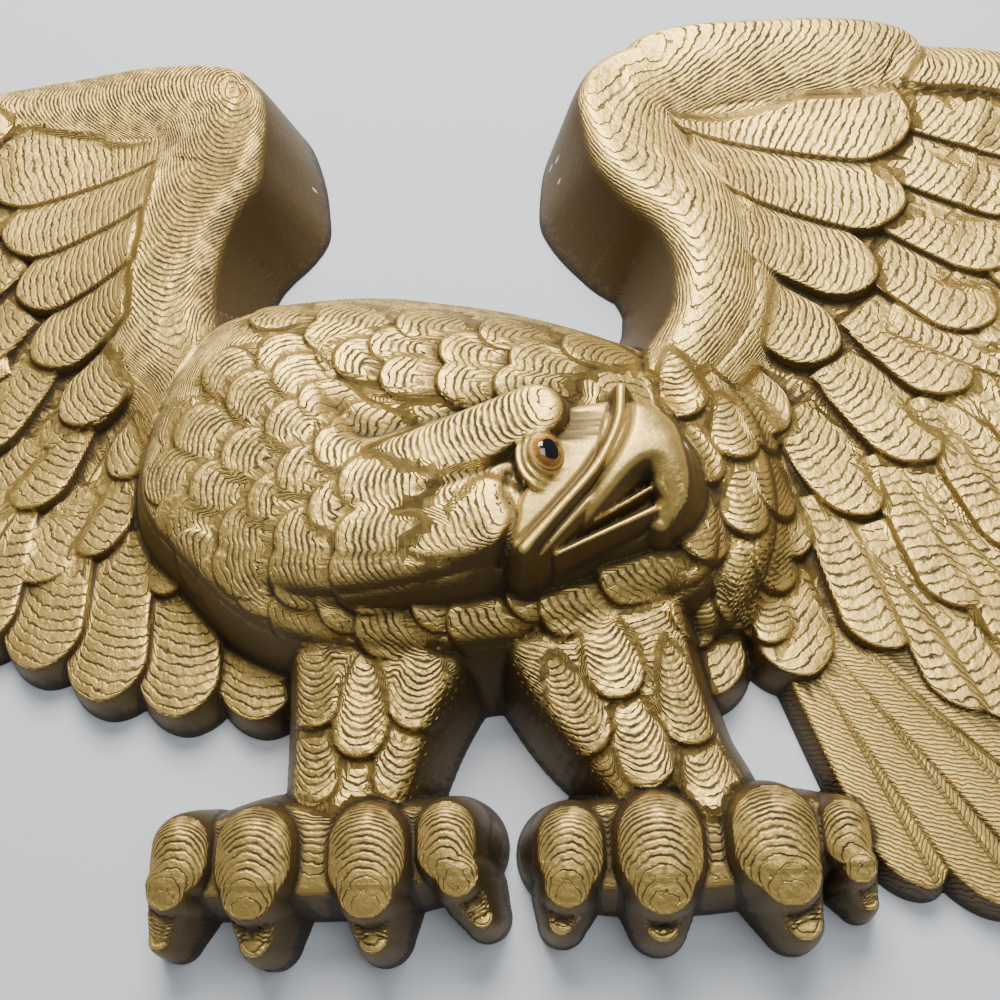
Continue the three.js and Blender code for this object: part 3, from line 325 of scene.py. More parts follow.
# Legs and feet: x, z, half width, height
LEGS = [
    [[-16, -80, 36, 44], [-22, -108, 29, 39], [-28, -140, 24, 33]],
    [[60, -75, 36, 46], [70, -102, 31, 41], [84, -128, 25, 36], [92, -146, 26, 33]],
]
LEG_FORM = {"slope": 3.6, "round": 7, "crown": 7, "blend": 0, "power": 2.4}
FEET = [
    [[-86, -164, 12, 32], [-58, -159, 17, 35], [-18, -158, 17, 35], [10, -157, 13, 32]],
    [[50, -160, 14, 32], [80, -158, 18, 35], [118, -157, 16, 34], [145, -155, 11, 30]],
]
FOOT_FORM = {"slope": 5, "round": 5, "crown": 3, "blend": 0, "power": 2}
# Toes: x and z of the knuckle, its half width and height, then x and z of the talon's point
TOES = [
    [-84, -160, 12, 42, -93, -187], [-57, -161, 15, 46, -58, -188], [-18, -161, 15, 46, -17, -187],
    [9, -157, 12, 44, 20, -181], [51, -160, 13, 42, 47, -183], [81, -160, 16, 46, 81, -184],
    [119, -158, 16, 46, 128, -184], [144, -156, 10, 38, 152, -178],
]
KNUCKLE = {"half": 3, "slope": 8, "round": 2.8, "crown": 6, "blend": 1, "power": 2.2}
JOINT = {
    "drop": 10, "share": 0.78, "lean": 0.35, "lower": 1,
    "slope": 10, "round": 3, "crown": 4.5, "blend": 1, "power": 2,
}
TALON = {
    "from": 14, "share": 0.66, "point": 0.48, "lean": 1.5, "high": 5, "low": 16,
    "slope": 7, "round": 3, "crown": 3, "blend": 0, "power": 2,
}

# Head: brow and cheek ridges, bare plates of face and beak, cere, mouth
BROW = [[-24, -31, 9, 69], [12, -26, 12, 78], [44, -16, 10.5, 85.5]]
BROW_FORM = {"slope": 2.6, "round": 3, "crown": 2, "blend": 1.5, "power": 2.5}
CHEEK = [[-26, -48, 14, 69], [8, -52, 16, 75], [26, -51, 14, 79]]
CHEEK_FORM = {"slope": 2.8, "round": 4, "crown": 2, "blend": 1, "power": 3}
CHIN = [
    [34, -68], [34, -54], [40, -40], [46, -24], [54, -13], [75, -9], [90, -12], [98, -22], [101, -36],
    [97, -48], [88, -53], [64, -62.5], [46, -69.5],
]
CHIN_FORM = {"height": 63, "slope": 2.4, "round": 4}
FACE = [
    [36, -68], [36, -54], [42, -40], [47, -24], [54, -13], [68, -9], [78, -9], [77, -26], [67, -44],
    [52, -60], [41, -69],
]
FACE_FORM = {"height": 78.5, "at": 50, "fall": 0.06, "mid": -38, "bow": 0.004, "slope": 3, "round": 2.5}
BEAK = [
    [70, -12], [86, -12], [95, -18], [99, -28], [99, -36], [94, -38], [86, -36], [79, -39], [67, -51],
    [56, -61], [47, -67], [41, -66], [58, -44],
]
BEAK_FORM = {"height": 81, "at": 76, "bowX": 0.017, "mid": -30, "bowZ": 0.006, "slope": 4.5, "round": 4.5}
HOOK = [[88, -29, 8, 79], [91, -38, 8, 76], [91, -46, 7, 71], [87, -53, 5.5, 65]]
HOOK_FORM = {"slope": 3, "round": 4, "crown": 4, "blend": 2, "power": 2}
CERE = [
    [75, -8, 2.4, 82.5], [73, -22, 2.3, 82.5], [65, -38, 2.2, 82], [52, -53, 2.2, 81.5], [39, -67, 2.6, 80],
]
TONGUE = [[86, -41, 1.5, 70], [64, -54, 1.1, 71]]
JAW = [[85, -50, 1.9, 69.5], [50, -66, 1.2, 71]]
BARE_FORM = {"slope": 4, "round": 2, "crown": 1, "blend": 0, "power": 2}
GROOVES = [
    {"path": [[79, -12], [77, -24], [70, -37], [57, -52], [44, -66]], "width": 1, "depth": 1.6},
    {"path": [[71, -12], [69, -23], [61, -37], [48, -52], [37, -63]], "width": 0.9, "depth": 1.2},
    {"path": [[2, -42], [14, -40], [26, -36], [36, -30]], "width": 1.5, "depth": 1.4},
    {"path": [[34, -38], [33, -46], [36, -54], [33, -62], [30, -67]], "width": 1.6, "depth": 2.4},
]

# Eye: a lid mound with two folds, and a glass lens set in it, turned outwards about the vertical
EYE = {
    "x": 48.3, "z": -32.8, "y": -82, "turn": 34,
    "radius": 7, "rim": 1.4, "step": 0.6, "dome": 2.6, "back": 2.2,
}
LID = {
    "top": 85, "below": 0.5, "fall": 0.6, "reach": 14,
    "folds": [9.2, 11.6], "foldDepth": 1.3, "foldWidth": 0.8,
}

# Contour lines on feathers and scales: hold is the share of the surface's own height that they
# follow, sweep how fast they climb towards the root, bend how far they bow towards the tip
WING_LINES = {"hold": 0.6, "sweep": 0.25, "bend": 0.2}
SCALE_LINES = {"hold": 0.35, "sweep": 0.42, "bend": 0.45}
LEG_LINES = {"hold": 0.3, "sweep": 0.42, "bend": 0.9}
# Folded arms: summit of the wrist, how fast the lines fall away from it, how far they bow
FOLD_RIGHT = {"x": 104, "z": 178, "sweep": 0.16, "bend": 0}
FOLD_LEFT = {"x": -92, "z": 174, "sweep": 0.34, "bend": 4}
# How fast the lines climb along x on the leading edges, and along x and z on toes and face
EDGE_SWEEP = 0.3
TOE_SWEEP = (0, 0.45)
FACE_SWEEP = (-0.24, -0.08)

# Places where the paint has chipped down to the pale cast: x, z, radius
CHIPS = [[53.5, 152, 0.9], [56.5, 150, 1.1], [57, 138, 0.8], [97.5, -27, 1.2], [-62, 148, 0.8]]
PALE_CAST = (0.55, 0.52, 0.45, 1.0)
# A chip is gone beyond the first of these shares of its radius and whole inside the second
CHIP_EDGE = (1.1, 0.8)

# Noises of the finishes: cells per metre, or per step of the iris's rays, detail, roughness
NOISES = {
    "sway": (80, 2.0, 0.5), "shiver": (380, 3.0, 0.5), "wear": (150, 2.0, 0.5), "ragged": (900, 2.0, 0.5),
    "wobble": (260, 3.0, 0.5), "patch": (42, 3.0, 0.5), "grain": (1500, 3.0, 0.65),
    "speck": (620, 3.0, 0.5), "pits": (330, 3.0, 0.5), "streak": (2.2, 3.0, 0.5),
}
# How far a noise shifts what it moves: contour lines and barbs in millimetres, chips in metres
SHIFTS = {"sway": 1.6, "shiver": 1.1, "wobble": 3.2, "ragged": 0.0016}
# Contour lines: share of the shifts that they take, least slope that they are spaced by, and
# the noise below which a line is worn, above which it is whole, and how much is left of it
LINES = {"wander": 0.8, "slope": 0.05, "worn": 0.3, "whole": 0.6, "left": 0.45}
# Tail: from one barb to the next, a barb's half width as a share of that, and how far from the
# shaft its line is gone and is whole, in millimetres
BARBS = {"pitch": 2.1, "half": 0.26, "shaft": (1.1, 0.3)}
# Masks: what each is read from, where it is 0 and where it is 1. The wall, deep and hollow
# masks place painted shade on the steep walls and in the hollows.
MASKS = {
    "wall": ("slope", 1.0, 1.75), "gentle": ("slope", 1.7, 1.25), "carved": ("bare", 0.5, 0.1),
    "hollow": ("proud", -0.05, -0.85), "crest": ("proud", 0.1, 1.3), "deep": ("proud_wide", -0.5, -6.0),
    "patch": ("patch", 0.35, 0.7), "speck": ("speck", 0.42, 0.62),
}
# Tones of paint and of painted shade: the setting each is mixed from, and its brightness.
# Brown is paint and painted shade, dark is patina and painted shade.
TONES = {
    "gold": ("gold", 1), "worn": ("gold", 1.35), "dull": ("gold", 0.72),
    "brown": ("brown", 1), "dark": ("dark", 1),
}
# Coats laid over the gold one after another: mask, share of it, tone. The steep walls take
# brown paint and painted shade, broad hollows brown patina and painted shade, narrow hollows
# dark patina and painted shade; raised crests take the lighter gold.
COATS = (
    ("patch", 0.55, "dull"), ("speck", 0.22, "worn"), ("crest", 0.6, "worn"), ("wall", 0.95, "brown"),
    ("deep", 0.55, "brown"), ("hollow", 0.78, "dark"),
)
# Share of the barbs and shafts that takes the contour lines' dark patina and painted shade,
# and of the walls that is as dull as the hollows
BARB_DARK = 0.6
WALL_DULL = 0.4
# Sheen: metal and roughness of clean paint, and how much both change where it is dull
METAL = {"clean": 0.86, "dull": 0.45}
ROUGH = {"grain": (0.3, 0.7), "clean": (0.36, 0.5), "dull": 0.2}
# Heights in millimetres by which the finish raises the surface or cuts into it
CUTS = {"line": -0.42, "barb": -0.38, "shaft": -0.5, "grain": 0.09, "pits": 0.22, "chip": -0.25}

# Glass eye: black of the pupil, pale ring of the iris, shade of its deep amber, the noise's
# limits of its streaks and how finely they run, and the radii at which one ring turns into the
# next, as shares of the lens's radius
PUPIL = (0.004, 0.004, 0.005, 1.0)
PALE_IRIS = (0.75, 0.42, 0.13, 1.0)
DEEP_AMBER = 0.35
STREAKS = {"limits": (0.35, 0.65), "round": 6.0, "outward": 2.0}
IRIS_RINGS = {"amber": (0.62, 0.8), "pale": (0.8, 0.9), "edge": (0.93, 0.99)}
PUPIL_SOFT = 0.03
LENS = {"rings": 14, "sides": 64, "weld": 1e-6}

# Wall: half its width and its gap behind the plaque, in metres
WALL = {"half": 3.0, "gap": 0.0006}
# Soft lights that aim at the origin: name, place, width and height, colour, setting of the power
LIGHTS = (
    ("key", (0.0, -1.2, 0.98), (0.9, 0.7), (1.0, 0.97, 0.92), "key"),
    ("fill", (0.35, -1.35, 0.05), (0.8, 0.8), (0.9, 0.95, 1.0), "fill"),
    ("back", (0.3, 1.4, 0.7), (0.8, 0.8), (1.0, 1.0, 1.0), "fill"),
)
SURROUNDINGS = (0.93, 0.93, 0.94, 1.0)

# Camera of the photograph: the pixel where it looks straight at the wall, its distance from
# the wall, its roll, and the pixel of the wall point that is the origin
CAMERA = {
    "focal": 1000, "centre": 500, "square": (575, 925), "distance": 395, "roll": 2.3, "origin": (440, 470),
}
# Width of the camera's sensor in millimetres, and the nearest and farthest it sees, in metres
SENSOR = 36.0
CLIP = (0.01, 20.0)


def catmull(points, per_span, closed=False):
    """Curve through control points: each span is the cubic whose end tangents are half the
    difference of the neighbouring points."""
    p = np.asarray(points, float)
    if closed:
        e = np.vstack([p[-1:], p, p[:2]])
    else:
        e = np.vstack([2 * p[0] - p[1], p, 2 * p[-1] - p[-2]])
    t = np.linspace(0, 1, per_span, endpoint=False)[None, :, None]
    a, b, c, d = (e[k:len(e) - 3 + k, None, :] for k in range(4))
    lin = (c - a) * t
    quad = (2 * a - 5 * b + 4 * c - d) * t ** 2
    cube = (3 * b - a - 3 * c + d) * t ** 3
    line = (0.5 * (2 * b + lin + quad + cube)).reshape(-1, p.shape[1])
    return line if closed else np.vstack([line, p[-1:]])


def along(line, share):
    """Point at a share of a curve's length, and the length."""
    steps = np.hypot(*np.diff(line[:, :2], axis=0).T)
    run = np.concatenate([[0], np.cumsum(steps)])
    want = np.clip(share, 0, 1) * run[-1]
    return np.array([np.interp(want, run, line[:, k]) for k in range(2)]), run[-1]


def fall_off(d, slope, rounding):
    """Wall profile: level inside the edge, a parabolic shoulder, then a straight draft."""
    shoulder = slope * (d + rounding) ** 2 / (4 * rounding)
    return np.where(d < -rounding, 0, np.where(d > rounding, slope * d, shoulder))


def smooth_max(a, b, mix):
    """Half of the sum plus the length of (difference, mix)."""
    return 0.5 * (a + b + np.hypot(a - b, mix)) if mix > 0 else np.maximum(a, b)


def smooth_step(x, low, high):
    """3 t squared less 2 t cubed, t running from 0 at low to 1 at high."""
    t = np.clip((x - low) / (high - low), 0, 1)
    return t * t * (3 - 2 * t)


def off_segment(X, Z, a, b):
    """Distance to the segment from a to b, and the nearest point's share of its length."""
    dx, dz = b[0] - a[0], b[1] - a[1]
    t = np.clip(((X - a[0]) * dx + (Z - a[1]) * dz) / (dx * dx + dz * dz + TINY), 0, 1)
    return np.hypot(X - a[0] - t * dx, Z - a[1] - t * dz), t


def nearest(X, Z, line, use_width=False):
    """Nearest place of a line of x, z, further columns: distance, edge and those columns.
    With use_width the line's third column is taken off the distance first."""
    best = np.full(X.shape, np.inf)
    far = np.zeros(X.shape)
    cols = np.zeros(X.shape + (line.shape[1] - 2,))
    for a, b in zip(line[:-1], line[1:]):
        dist, t = off_segment(X, Z, a, b)
        key = dist - (a[2] + (b[2] - a[2]) * t) if use_width else dist
        closer = key < best
        best = np.where(closer, key, best)
        far = np.where(closer, dist, far)
        cols = np.where(closer[..., None], a[2:] + (b[2:] - a[2:]) * t[..., None], cols)
    return far, best, cols


def outline_distance(X, Z, outline):
    """Distance to a closed outline, negative inside, by the even-odd rule."""
    best = np.full(X.shape, np.inf)
    inside = np.zeros(X.shape, bool)
    for a, b in zip(outline, np.roll(outline, -1, axis=0)):
        best = np.minimum(best, off_segment(X, Z, a, b)[0])
        crosses = (a[1] > Z) != (b[1] > Z)
        inside ^= crosses & (X < a[0] + (Z - a[1]) * (b[0] - a[0]) / (b[1] - a[1] + TINY))
    return np.where(inside, -best, best)


class Relief:
    """Height field with marks: bare for smooth plates, barb, vane and shaft for the tail."""

    def __init__(self, pitch):
        self.pitch = pitch
        self.x = np.arange(FIELD["x0"], FIELD["x1"] + pitch / 2, pitch)
        self.z = np.arange(FIELD["z0"], FIELD["z1"] + pitch / 2, pitch)
        shape = (len(self.z), len(self.x))
        self.height = np.full(shape, FLOOR)
        self.ring = np.full(shape, FLOOR)
        self.marks = {name: np.zeros(shape) for name in ("bare", "barb", "vane", "shaft")}

    def window(self, points, margin):
        """Slices and coordinates of the part of the field near some points."""
        p = np.asarray(points, float)
        low, high = p.min(axis=0) - margin, p.max(axis=0) + margin
        i0, i1 = np.searchsorted(self.x, [low[0], high[0]])
        j0, j1 = np.searchsorted(self.z, [low[1], high[1]])
        part = (slice(max(j0 - 1, 0), j1 + 1), slice(max(i0 - 1, 0), i1 + 1))
        return (part, *np.meshgrid(self.x[part[1]], self.z[part[0]]))

    def put(self, part, value, mix=0.0, ring=None, **marks):
        """Raises the field to a value, smoothly within a few times mix, and sets the marks there.
        The contour lines follow the value itself, or a ring value given in its place."""
        old = self.height[part]
        near = np.abs(old - value) <= BLEND_REACH * mix
        higher = value >= old - MARK_REACH
        for name, grid in self.marks.items():
            grid[part] = np.where(higher, marks.get(name, 0.0), grid[part])
        self.ring[part] = np.where(higher, value if ring is None else ring, self.ring[part])
        self.height[part] = np.where(near, smooth_max(old, value, mix), np.maximum(old, value))

    def ridge(self, path, form, bare=0.0, sweep=(0, 0)):
        """Rounded ridge: height less crown times the share of the half width to a power."""
        line = catmull(path, SPANS["ridge"])
        width, height = (max(p[k] for p in path) for k in (2, 3))
        reach = width + height / form["slope"] + form["round"] + SPARE["form"]
        part, X, Z = self.window(line[:, :2], reach)
        far, edge, cols = nearest(X, Z, line, use_width=True)
        top = cols[..., 1] - form["crown"] * np.minimum(far / cols[..., 0], RIDGE_ACROSS) ** form["power"]
        value = top - fall_off(edge, form["slope"], form["round"])
        self.put(part, value, form["blend"], bare=bare, ring=value - sweep[0] * X - sweep[1] * Z)

    def plateau(self, points, top, form, reach, bare=0.0, sweep=(0, 0)):
        """Raised area inside an outline, its top a function of x, z and the depth inside."""
        outline = catmull(points, SPANS["outline"], closed=True)
        part, X, Z = self.window(outline, reach / form["slope"] + form["round"] + SPARE["form"])
        d = outline_distance(X, Z, outline)
        value = top(X, Z, np.maximum(-d, 0)) - fall_off(d, form["slope"], form["round"])
        ring = value - sweep[0] * X - sweep[1] * Z
        self.put(part, value, form.get("blend", 0), bare=bare, ring=ring)

    def strap(self, one, two, form, fold):
        """Surface ruled between two edges, each given as x, z, height, with a low crown. Its
        contour lines close round the summit of the fold and bow across the strap."""
        first, second = catmull(one, SPANS["outline"]), catmull(two, SPANS["outline"])
        outline = np.vstack([first[:, :2], second[::-1, :2]])
        reach = max(p[2] for p in one) / form["slope"] + form["round"] + SPARE["form"]
        part, X, Z = self.window(outline, reach)
        d = outline_distance(X, Z, outline)
        far1, _, high1 = nearest(X, Z, first)
        far2, _, high2 = nearest(X, Z, second)
        s = (far1 + TINY) / (far1 + far2 + 2 * TINY)
        top = high1[..., 0] * (1 - s) + high2[..., 0] * s + form["crown"] * 4 * s * (1 - s)
        slope = form["slope"] + np.zeros(X.shape)
        if "steep" in form:
            slope += (form["steep"] - form["slope"]) * smooth_step(Z, form["from"], form["to"])
        slope += (form["ease"] - slope) * smooth_step(s, EASE_FROM, EASE_TO)
        value = top - fall_off(d, slope, form["round"])
        away = np.hypot(X - fold["x"], Z - fold["z"])
        ring = value - fold["sweep"] * away - fold["bend"] * (2 * s - 1) ** 2
        self.put(part, value, form["blend"], ring=ring)

    def feather(self, root, tip, w, ground, form, vane=0.0):
        """Strip with a superelliptic end: the ground plus a lift that grows to the tip,
        less a crown across, plus a tilt across."""
        root, tip = np.asarray(root, float), np.asarray(tip, float)
        length = math.hypot(*(tip - root))
        ax = (tip - root) / length
        nose = min(form["nose"] * w, length * LONGEST_NOSE)
        start = length - nose
        part, X, Z = self.window([root, tip], w * FEATHER_ACROSS + SPARE["feather"])
        s = (X - root[0]) * ax[0] + (Z - root[1]) * ax[1]
        t = -(X - root[0]) * ax[1] + (Z - root[1]) * ax[0]
        f = np.clip(s / length, 0, 1)
        half = w * (form["taper"] + (1 - form["taper"]) * np.sqrt(f))
        v = np.abs(t) / half
        u = np.maximum(s - start, 0) / nose
        p = form["blunt"]
        rho = (u ** p + v ** p) ** (1 / p) + TINY
        steep = np.hypot(u ** (p - 1) / nose, v ** (p - 1) / half) / rho ** (p - 1) + TINY
        d = np.where(s > start, (rho - 1) / steep, np.abs(t) - half)
        d = np.maximum(d, -s - w * FEATHER_ROOT)
        across = np.clip(t / half, -FEATHER_ACROSS, FEATHER_ACROSS)
        top = ground(X, Z, part) + form["low"] + (form["lift"] - form["low"]) * f ** form["rise"]
        top += form["tilt"] * across - form["crown"] * across ** 2
        value = top - fall_off(d, form["slope"], form["round"])
        ring = form["hold"] * value - form["sweep"] * (s + form["bend"] * across ** 2 * half)
        self.put(part, value, ring=ring, vane=vane, barb=s + np.abs(t), shaft=t)

    def feather_row(self, row, ground):
        """Feathers spread evenly from a curve of roots to a curve of tips."""
        roots, tips = catmull(row["roots"], SPANS["row"]), catmull(row["tips"], SPANS["row"])
        for share in np.linspace(0, 1, row["n"]):
            w = row["w0"] + (row["w1"] - row["w0"]) * share
            form = {**FEATHER, **row, **WING_LINES}
            self.feather(along(roots, share)[0], along(tips, share)[0], w, ground, form)

    def scale_lanes(self, lanes, lines):
        """Overlapping scale feathers laid over the relief that is already there."""
        before = self.height.copy()
        form = {**FEATHER, **SCALE, "low": -SCALE["sink"], "lift": lanes["lift"],
                "crown": lanes["crown"], "tilt": 0, **lines}
        for g, guide in enumerate(lanes["guides"]):
            line = catmull(guide, SPANS["lane"])
            for i in range(lanes["n"]):
                share = (i + (0.5 if g % 2 else 0)) / lanes["n"]
                root, total = along(line, share)
                tip, _ = along(line, share + lanes["length"] / total)
                if math.hypot(*(tip - root)) >= lanes["length"] * SHORTEST_SCALE:
                    self.feather(root, tip, lanes["w"], lambda X, Z, part: before[part], form)

    def groove(self, path, width, depth):
        """Cut of Gaussian section along a curve."""
        line = catmull([(x, z, 0) for x, z in path], SPANS["outline"])
        part, X, Z = self.window(line[:, :2], width * GROOVE_ACROSS)
        far, _, _ = nearest(X, Z, line)
        cut = depth * np.exp(-(far / width) ** 2)
        self.height[part] -= cut
        self.ring[part] -= cut


def wing_ground(arm, lead):
    """Ground of a wing: a level plus the larger of two swells that die away
    exponentially from the arm and from the leading edge."""
    arm, lead = np.array(arm, float), np.array(lead, float)

    def swell(line, X, Z):
        far, _, rise = nearest(X, Z, line)
        return rise[..., 0] * np.exp(-far / GROUND["fade"])

    def ground(X, Z, part):
        return GROUND["level"] + smooth_max(swell(arm, X, Z), swell(lead, X, Z), GROUND["mix"])

    return ground


def make_tail(relief):
    """Fan of long feathers out of one point, turned by an even step."""
    form = {**FEATHER, **TAIL, **WING_LINES, "low": 0}
    x, z = TAIL["apex"]
    for i, length in reversed(list(enumerate(TAIL["lengths"]))):
        a = math.radians(TAIL["first"] - TAIL["step"] * i)
        root, tip = ((x + math.cos(a) * r, z - math.sin(a) * r) for r in (TAIL["root"], length))
        relief.feather(root, tip, TAIL["halfWidth"], lambda X, Z, part: TAIL["level"], form, vane=1.0)


def make_wing(relief, ground, web, rows, tail):
    """Plain web, then the rows of feathers, with the tail fan under the second row."""
    def web_top(X, Z, inside):
        return ground(X, Z, None) - WEB["under"]

    sweep = WING_LINES["sweep"] if tail else -WING_LINES["sweep"]
    relief.plateau(web, web_top, WEB, WEB["reach"], sweep=(sweep, -abs(sweep) / 2))
    for i, row in enumerate(rows):
        relief.feather_row(row, ground)
        if tail and i == 0:
            make_tail(relief)


def make_toe(relief, x, z, half, high, tip_x, tip_z):
    """Knuckle, the small joint below it and the talon, each a short ridge."""
    lean = (tip_x - x) * JOINT["lean"]
    knuckle = [[x, z + KNUCKLE["half"], half, high], [x, z - KNUCKLE["half"], half, high]]
    relief.ridge(knuckle, KNUCKLE, sweep=TOE_SWEEP)
    joint = [x + lean, z - JOINT["drop"], half * JOINT["share"], high]
    lower = [joint[0], joint[1] - JOINT["lower"], joint[2], high - JOINT["lower"]]
    relief.ridge([joint, lower], JOINT, sweep=TOE_SWEEP)
    claw = [x + lean * TALON["lean"], z - TALON["from"], half * TALON["share"], high - TALON["high"]]
    relief.ridge([claw, [tip_x, tip_z, half * TALON["point"], high - TALON["low"]]], TALON)


def make_eye_mound(relief):
    """Lids: the plane of the lens's rim, let down a little, falling off outside the lens,
    with folds cut as rings round the lens's axis."""
    turn = math.radians(EYE["turn"])
    part, X, Z = relief.window([[EYE["x"], EYE["z"]]], LID["reach"])
    rim = -EYE["y"] - math.tan(turn) * (X - EYE["x"])
    rho = np.hypot((X - EYE["x"]) / math.cos(turn), Z - EYE["z"])
    lid = np.minimum(rim - LID["below"], LID["top"]) - LID["fall"] * np.maximum(rho - EYE["radius"], 0)
    for at in LID["folds"]:
        lid -= LID["foldDepth"] * np.exp(-((rho - at) / LID["foldWidth"]) ** 2)
    relief.put(part, np.where(rho < LID["reach"], lid, FLOOR), bare=1.0)


def make_head(relief):
    """Brow and cheek ridges, then the bare plates of chin, face and beak, and the eye mound."""
    relief.ridge(BROW, BROW_FORM, sweep=FACE_SWEEP)
    relief.ridge(CHEEK, CHEEK_FORM, sweep=FACE_SWEEP)
    chin = CHIN_FORM["height"]
    relief.plateau(CHIN, lambda X, Z, inside: chin, CHIN_FORM, chin, 1.0)
    f, b = FACE_FORM, BEAK_FORM

    def face_top(X, Z, inside):
        return f["height"] - f["fall"] * (X - f["at"]) - f["bow"] * (Z - f["mid"]) ** 2

    def beak_top(X, Z, inside):
        return b["height"] - b["bowX"] * (X - b["at"]) ** 2 - b["bowZ"] * (Z - b["mid"]) ** 2

    relief.plateau(FACE, face_top, f, f["height"], 1.0)
    relief.plateau(BEAK, beak_top, b, b["height"], 1.0)
    relief.ridge(HOOK, HOOK_FORM, 1.0)
    for path in (CERE, TONGUE, JAW):
        relief.ridge(path, BARE_FORM, 1.0)
    for cut in GROOVES:
        relief.groove(cut["path"], cut["width"], cut["depth"])
    make_eye_mound(relief)


def make_body_and_neck(relief):
    """Domed body, the neck across its front, and the scale feathers on both."""
    b, n = BODY_FORM, NECK_FORM

    def body_top(X, Z, inside):
        edge = b["edgeLow"] + (b["edgeHigh"] - b["edgeLow"]) * smooth_step(Z, b["from"], b["to"])
        return edge + (b["peak"] - edge) * (1 - np.exp(-inside / b["spread"]))

    def neck_top(X, Z, inside):
        u = n["at"] - X
        peak = n["peak"] - n["fall"] * u - n["bow"] * u * np.maximum(u, 0)
        return peak - n["edge"] * np.exp(-inside / n["spread"])

    relief.plateau(BODY, body_top, b, b["edgeLow"], sweep=(-SCALE_LINES["sweep"], 0))
    relief.ridge(SHOULDER, SHOULDER_FORM, sweep=(0, -SCALE_LINES["sweep"]))
    relief.scale_lanes(SHOULDER_LANES, SCALE_LINES)
    relief.scale_lanes(CHEST_LANES, SCALE_LINES)
    relief.plateau(NECK, neck_top, n, n["peak"], sweep=(-SCALE_LINES["sweep"], 0))
    relief.groove(NAPE["path"], NAPE["width"], NAPE["depth"])
    relief.scale_lanes(BACK_LANES, SCALE_LINES)
    relief.scale_lanes(NECK_LANES, SCALE_LINES)


def make_relief(pitch):
    """Whole relief, in the order in which its parts lie over one another."""
    relief = Relief(pitch)
    make_wing(relief, wing_ground(ARM_RIGHT, LEAD_RIGHT), WEB_RIGHT, ROWS_RIGHT, True)
    make_wing(relief, wing_ground(ARM_LEFT, LEAD_LEFT), WEB_LEFT, ROWS_LEFT, False)
    relief.ridge(EDGE_RIGHT, EDGE, sweep=(EDGE_SWEEP, 0))
    relief.strap(BAND_RIGHT_TOP, BAND_RIGHT_LOW, BAND, FOLD_RIGHT)
    relief.strap(ARM_RIGHT_IN, ARM_RIGHT_OUT, ARM, FOLD_RIGHT)
    relief.ridge(EDGE_LEFT, EDGE, sweep=(-EDGE_SWEEP, 0))
    relief.strap(BAND_LEFT_TOP, BAND_LEFT_LOW, BAND, FOLD_LEFT)
    relief.strap(ARM_LEFT_IN, ARM_LEFT_OUT, ARM, FOLD_LEFT)
    for leg in LEGS:
        relief.ridge(leg, LEG_FORM, sweep=(0, -LEG_LINES["sweep"]))
    relief.scale_lanes(LEG_LANES, LEG_LINES)
    for foot in FEET:
        relief.ridge(foot, FOOT_FORM, sweep=TOE_SWEEP)
    for toe in TOES:
        make_toe(relief, *toe)
    make_body_and_neck(relief)
    make_head(relief)
    return relief


def blurred(grid, pitch, radius):
    """Gaussian blur of a grid, by multiplying its Fourier transform with the Gaussian's."""
    fz = np.fft.fftfreq(grid.shape[0], pitch)[:, None]
    fx = np.fft.rfftfreq(grid.shape[1], pitch)[None, :]
    damp = np.exp(-2 * (np.pi * radius) ** 2 * (fz ** 2 + fx ** 2))
    return np.fft.irfft2(np.fft.rfft2(grid) * damp, grid.shape)


def eroded(grid, reach):
    """Smallest value within a square of cells, which leaves out narrow jumps."""
    for axis in (0, 1):
        grid = np.minimum.reduce([np.roll(grid, k, axis) for k in range(-reach, reach + 1)])
    return grid


def sample(relief, grid, x, z):
    """Bilinear value of a grid at points in millimetres."""
    fx = np.clip((x - relief.x[0]) / relief.pitch, 0, len(relief.x) - LAST_CELL)
    fz = np.clip((z - relief.z[0]) / relief.pitch, 0, len(relief.z) - LAST_CELL)
    i, j = fx.astype(int), fz.astype(int)
    a, b = fx - i, fz - j
    low = grid[j, i] * (1 - a) + grid[j, i + 1] * a
    high = grid[j + 1, i] * (1 - a) + grid[j + 1, i + 1] * a
    return low * (1 - b) + high * b


def front_surface(relief):
    """Vertices and triangles of the relief where it stands in front of the wall plane. Grid
    points just outside slide down the slope of H to the plane by one Newton step."""
    h = relief.height
    gz, gx = np.gradient(h, relief.pitch)
    on = h > 0
    used_cell = (on[:-1, :-1] | on[:-1, 1:] | on[1:, :-1] | on[1:, 1:])
    index = np.arange(h.size).reshape(h.shape)
    a, b = index[:-1, :-1][used_cell], index[:-1, 1:][used_cell]
    c, d = index[1:, 1:][used_cell], index[1:, :-1][used_cell]
    flat = h.ravel()
    # split each cell along the diagonal whose ends are nearer in height
    turn = np.abs(flat[a] - flat[c]) > np.abs(flat[b] - flat[d])
    one = np.where(turn[:, None], np.stack([a, b, d], 1), np.stack([a, b, c], 1))
    two = np.where(turn[:, None], np.stack([b, c, d], 1), np.stack([a, c, d], 1))
    triangles = np.vstack([one, two])
    triangles = triangles[(flat[triangles] > 0).any(axis=1)]
    kept, triangles = np.unique(triangles, return_inverse=True)
    triangles = triangles.reshape(-1, 3)
    X, Z = np.meshgrid(relief.x, relief.z)
    x, z, y = X.ravel()[kept], Z.ravel()[kept], flat[kept]
    sx, sz = gx.ravel()[kept], gz.ravel()[kept]
    out = y <= 0
    steep = np.maximum(sx ** 2 + sz ** 2, 1.0)
    move = np.where(out, -y / steep, 0)
    limit = SLIDE * relief.pitch
    x = x + np.clip(move * sx, -limit, limit)
    z = z + np.clip(move * sz, -limit, limit)
    return np.stack([x, -np.maximum(y, 0), z], 1), triangles


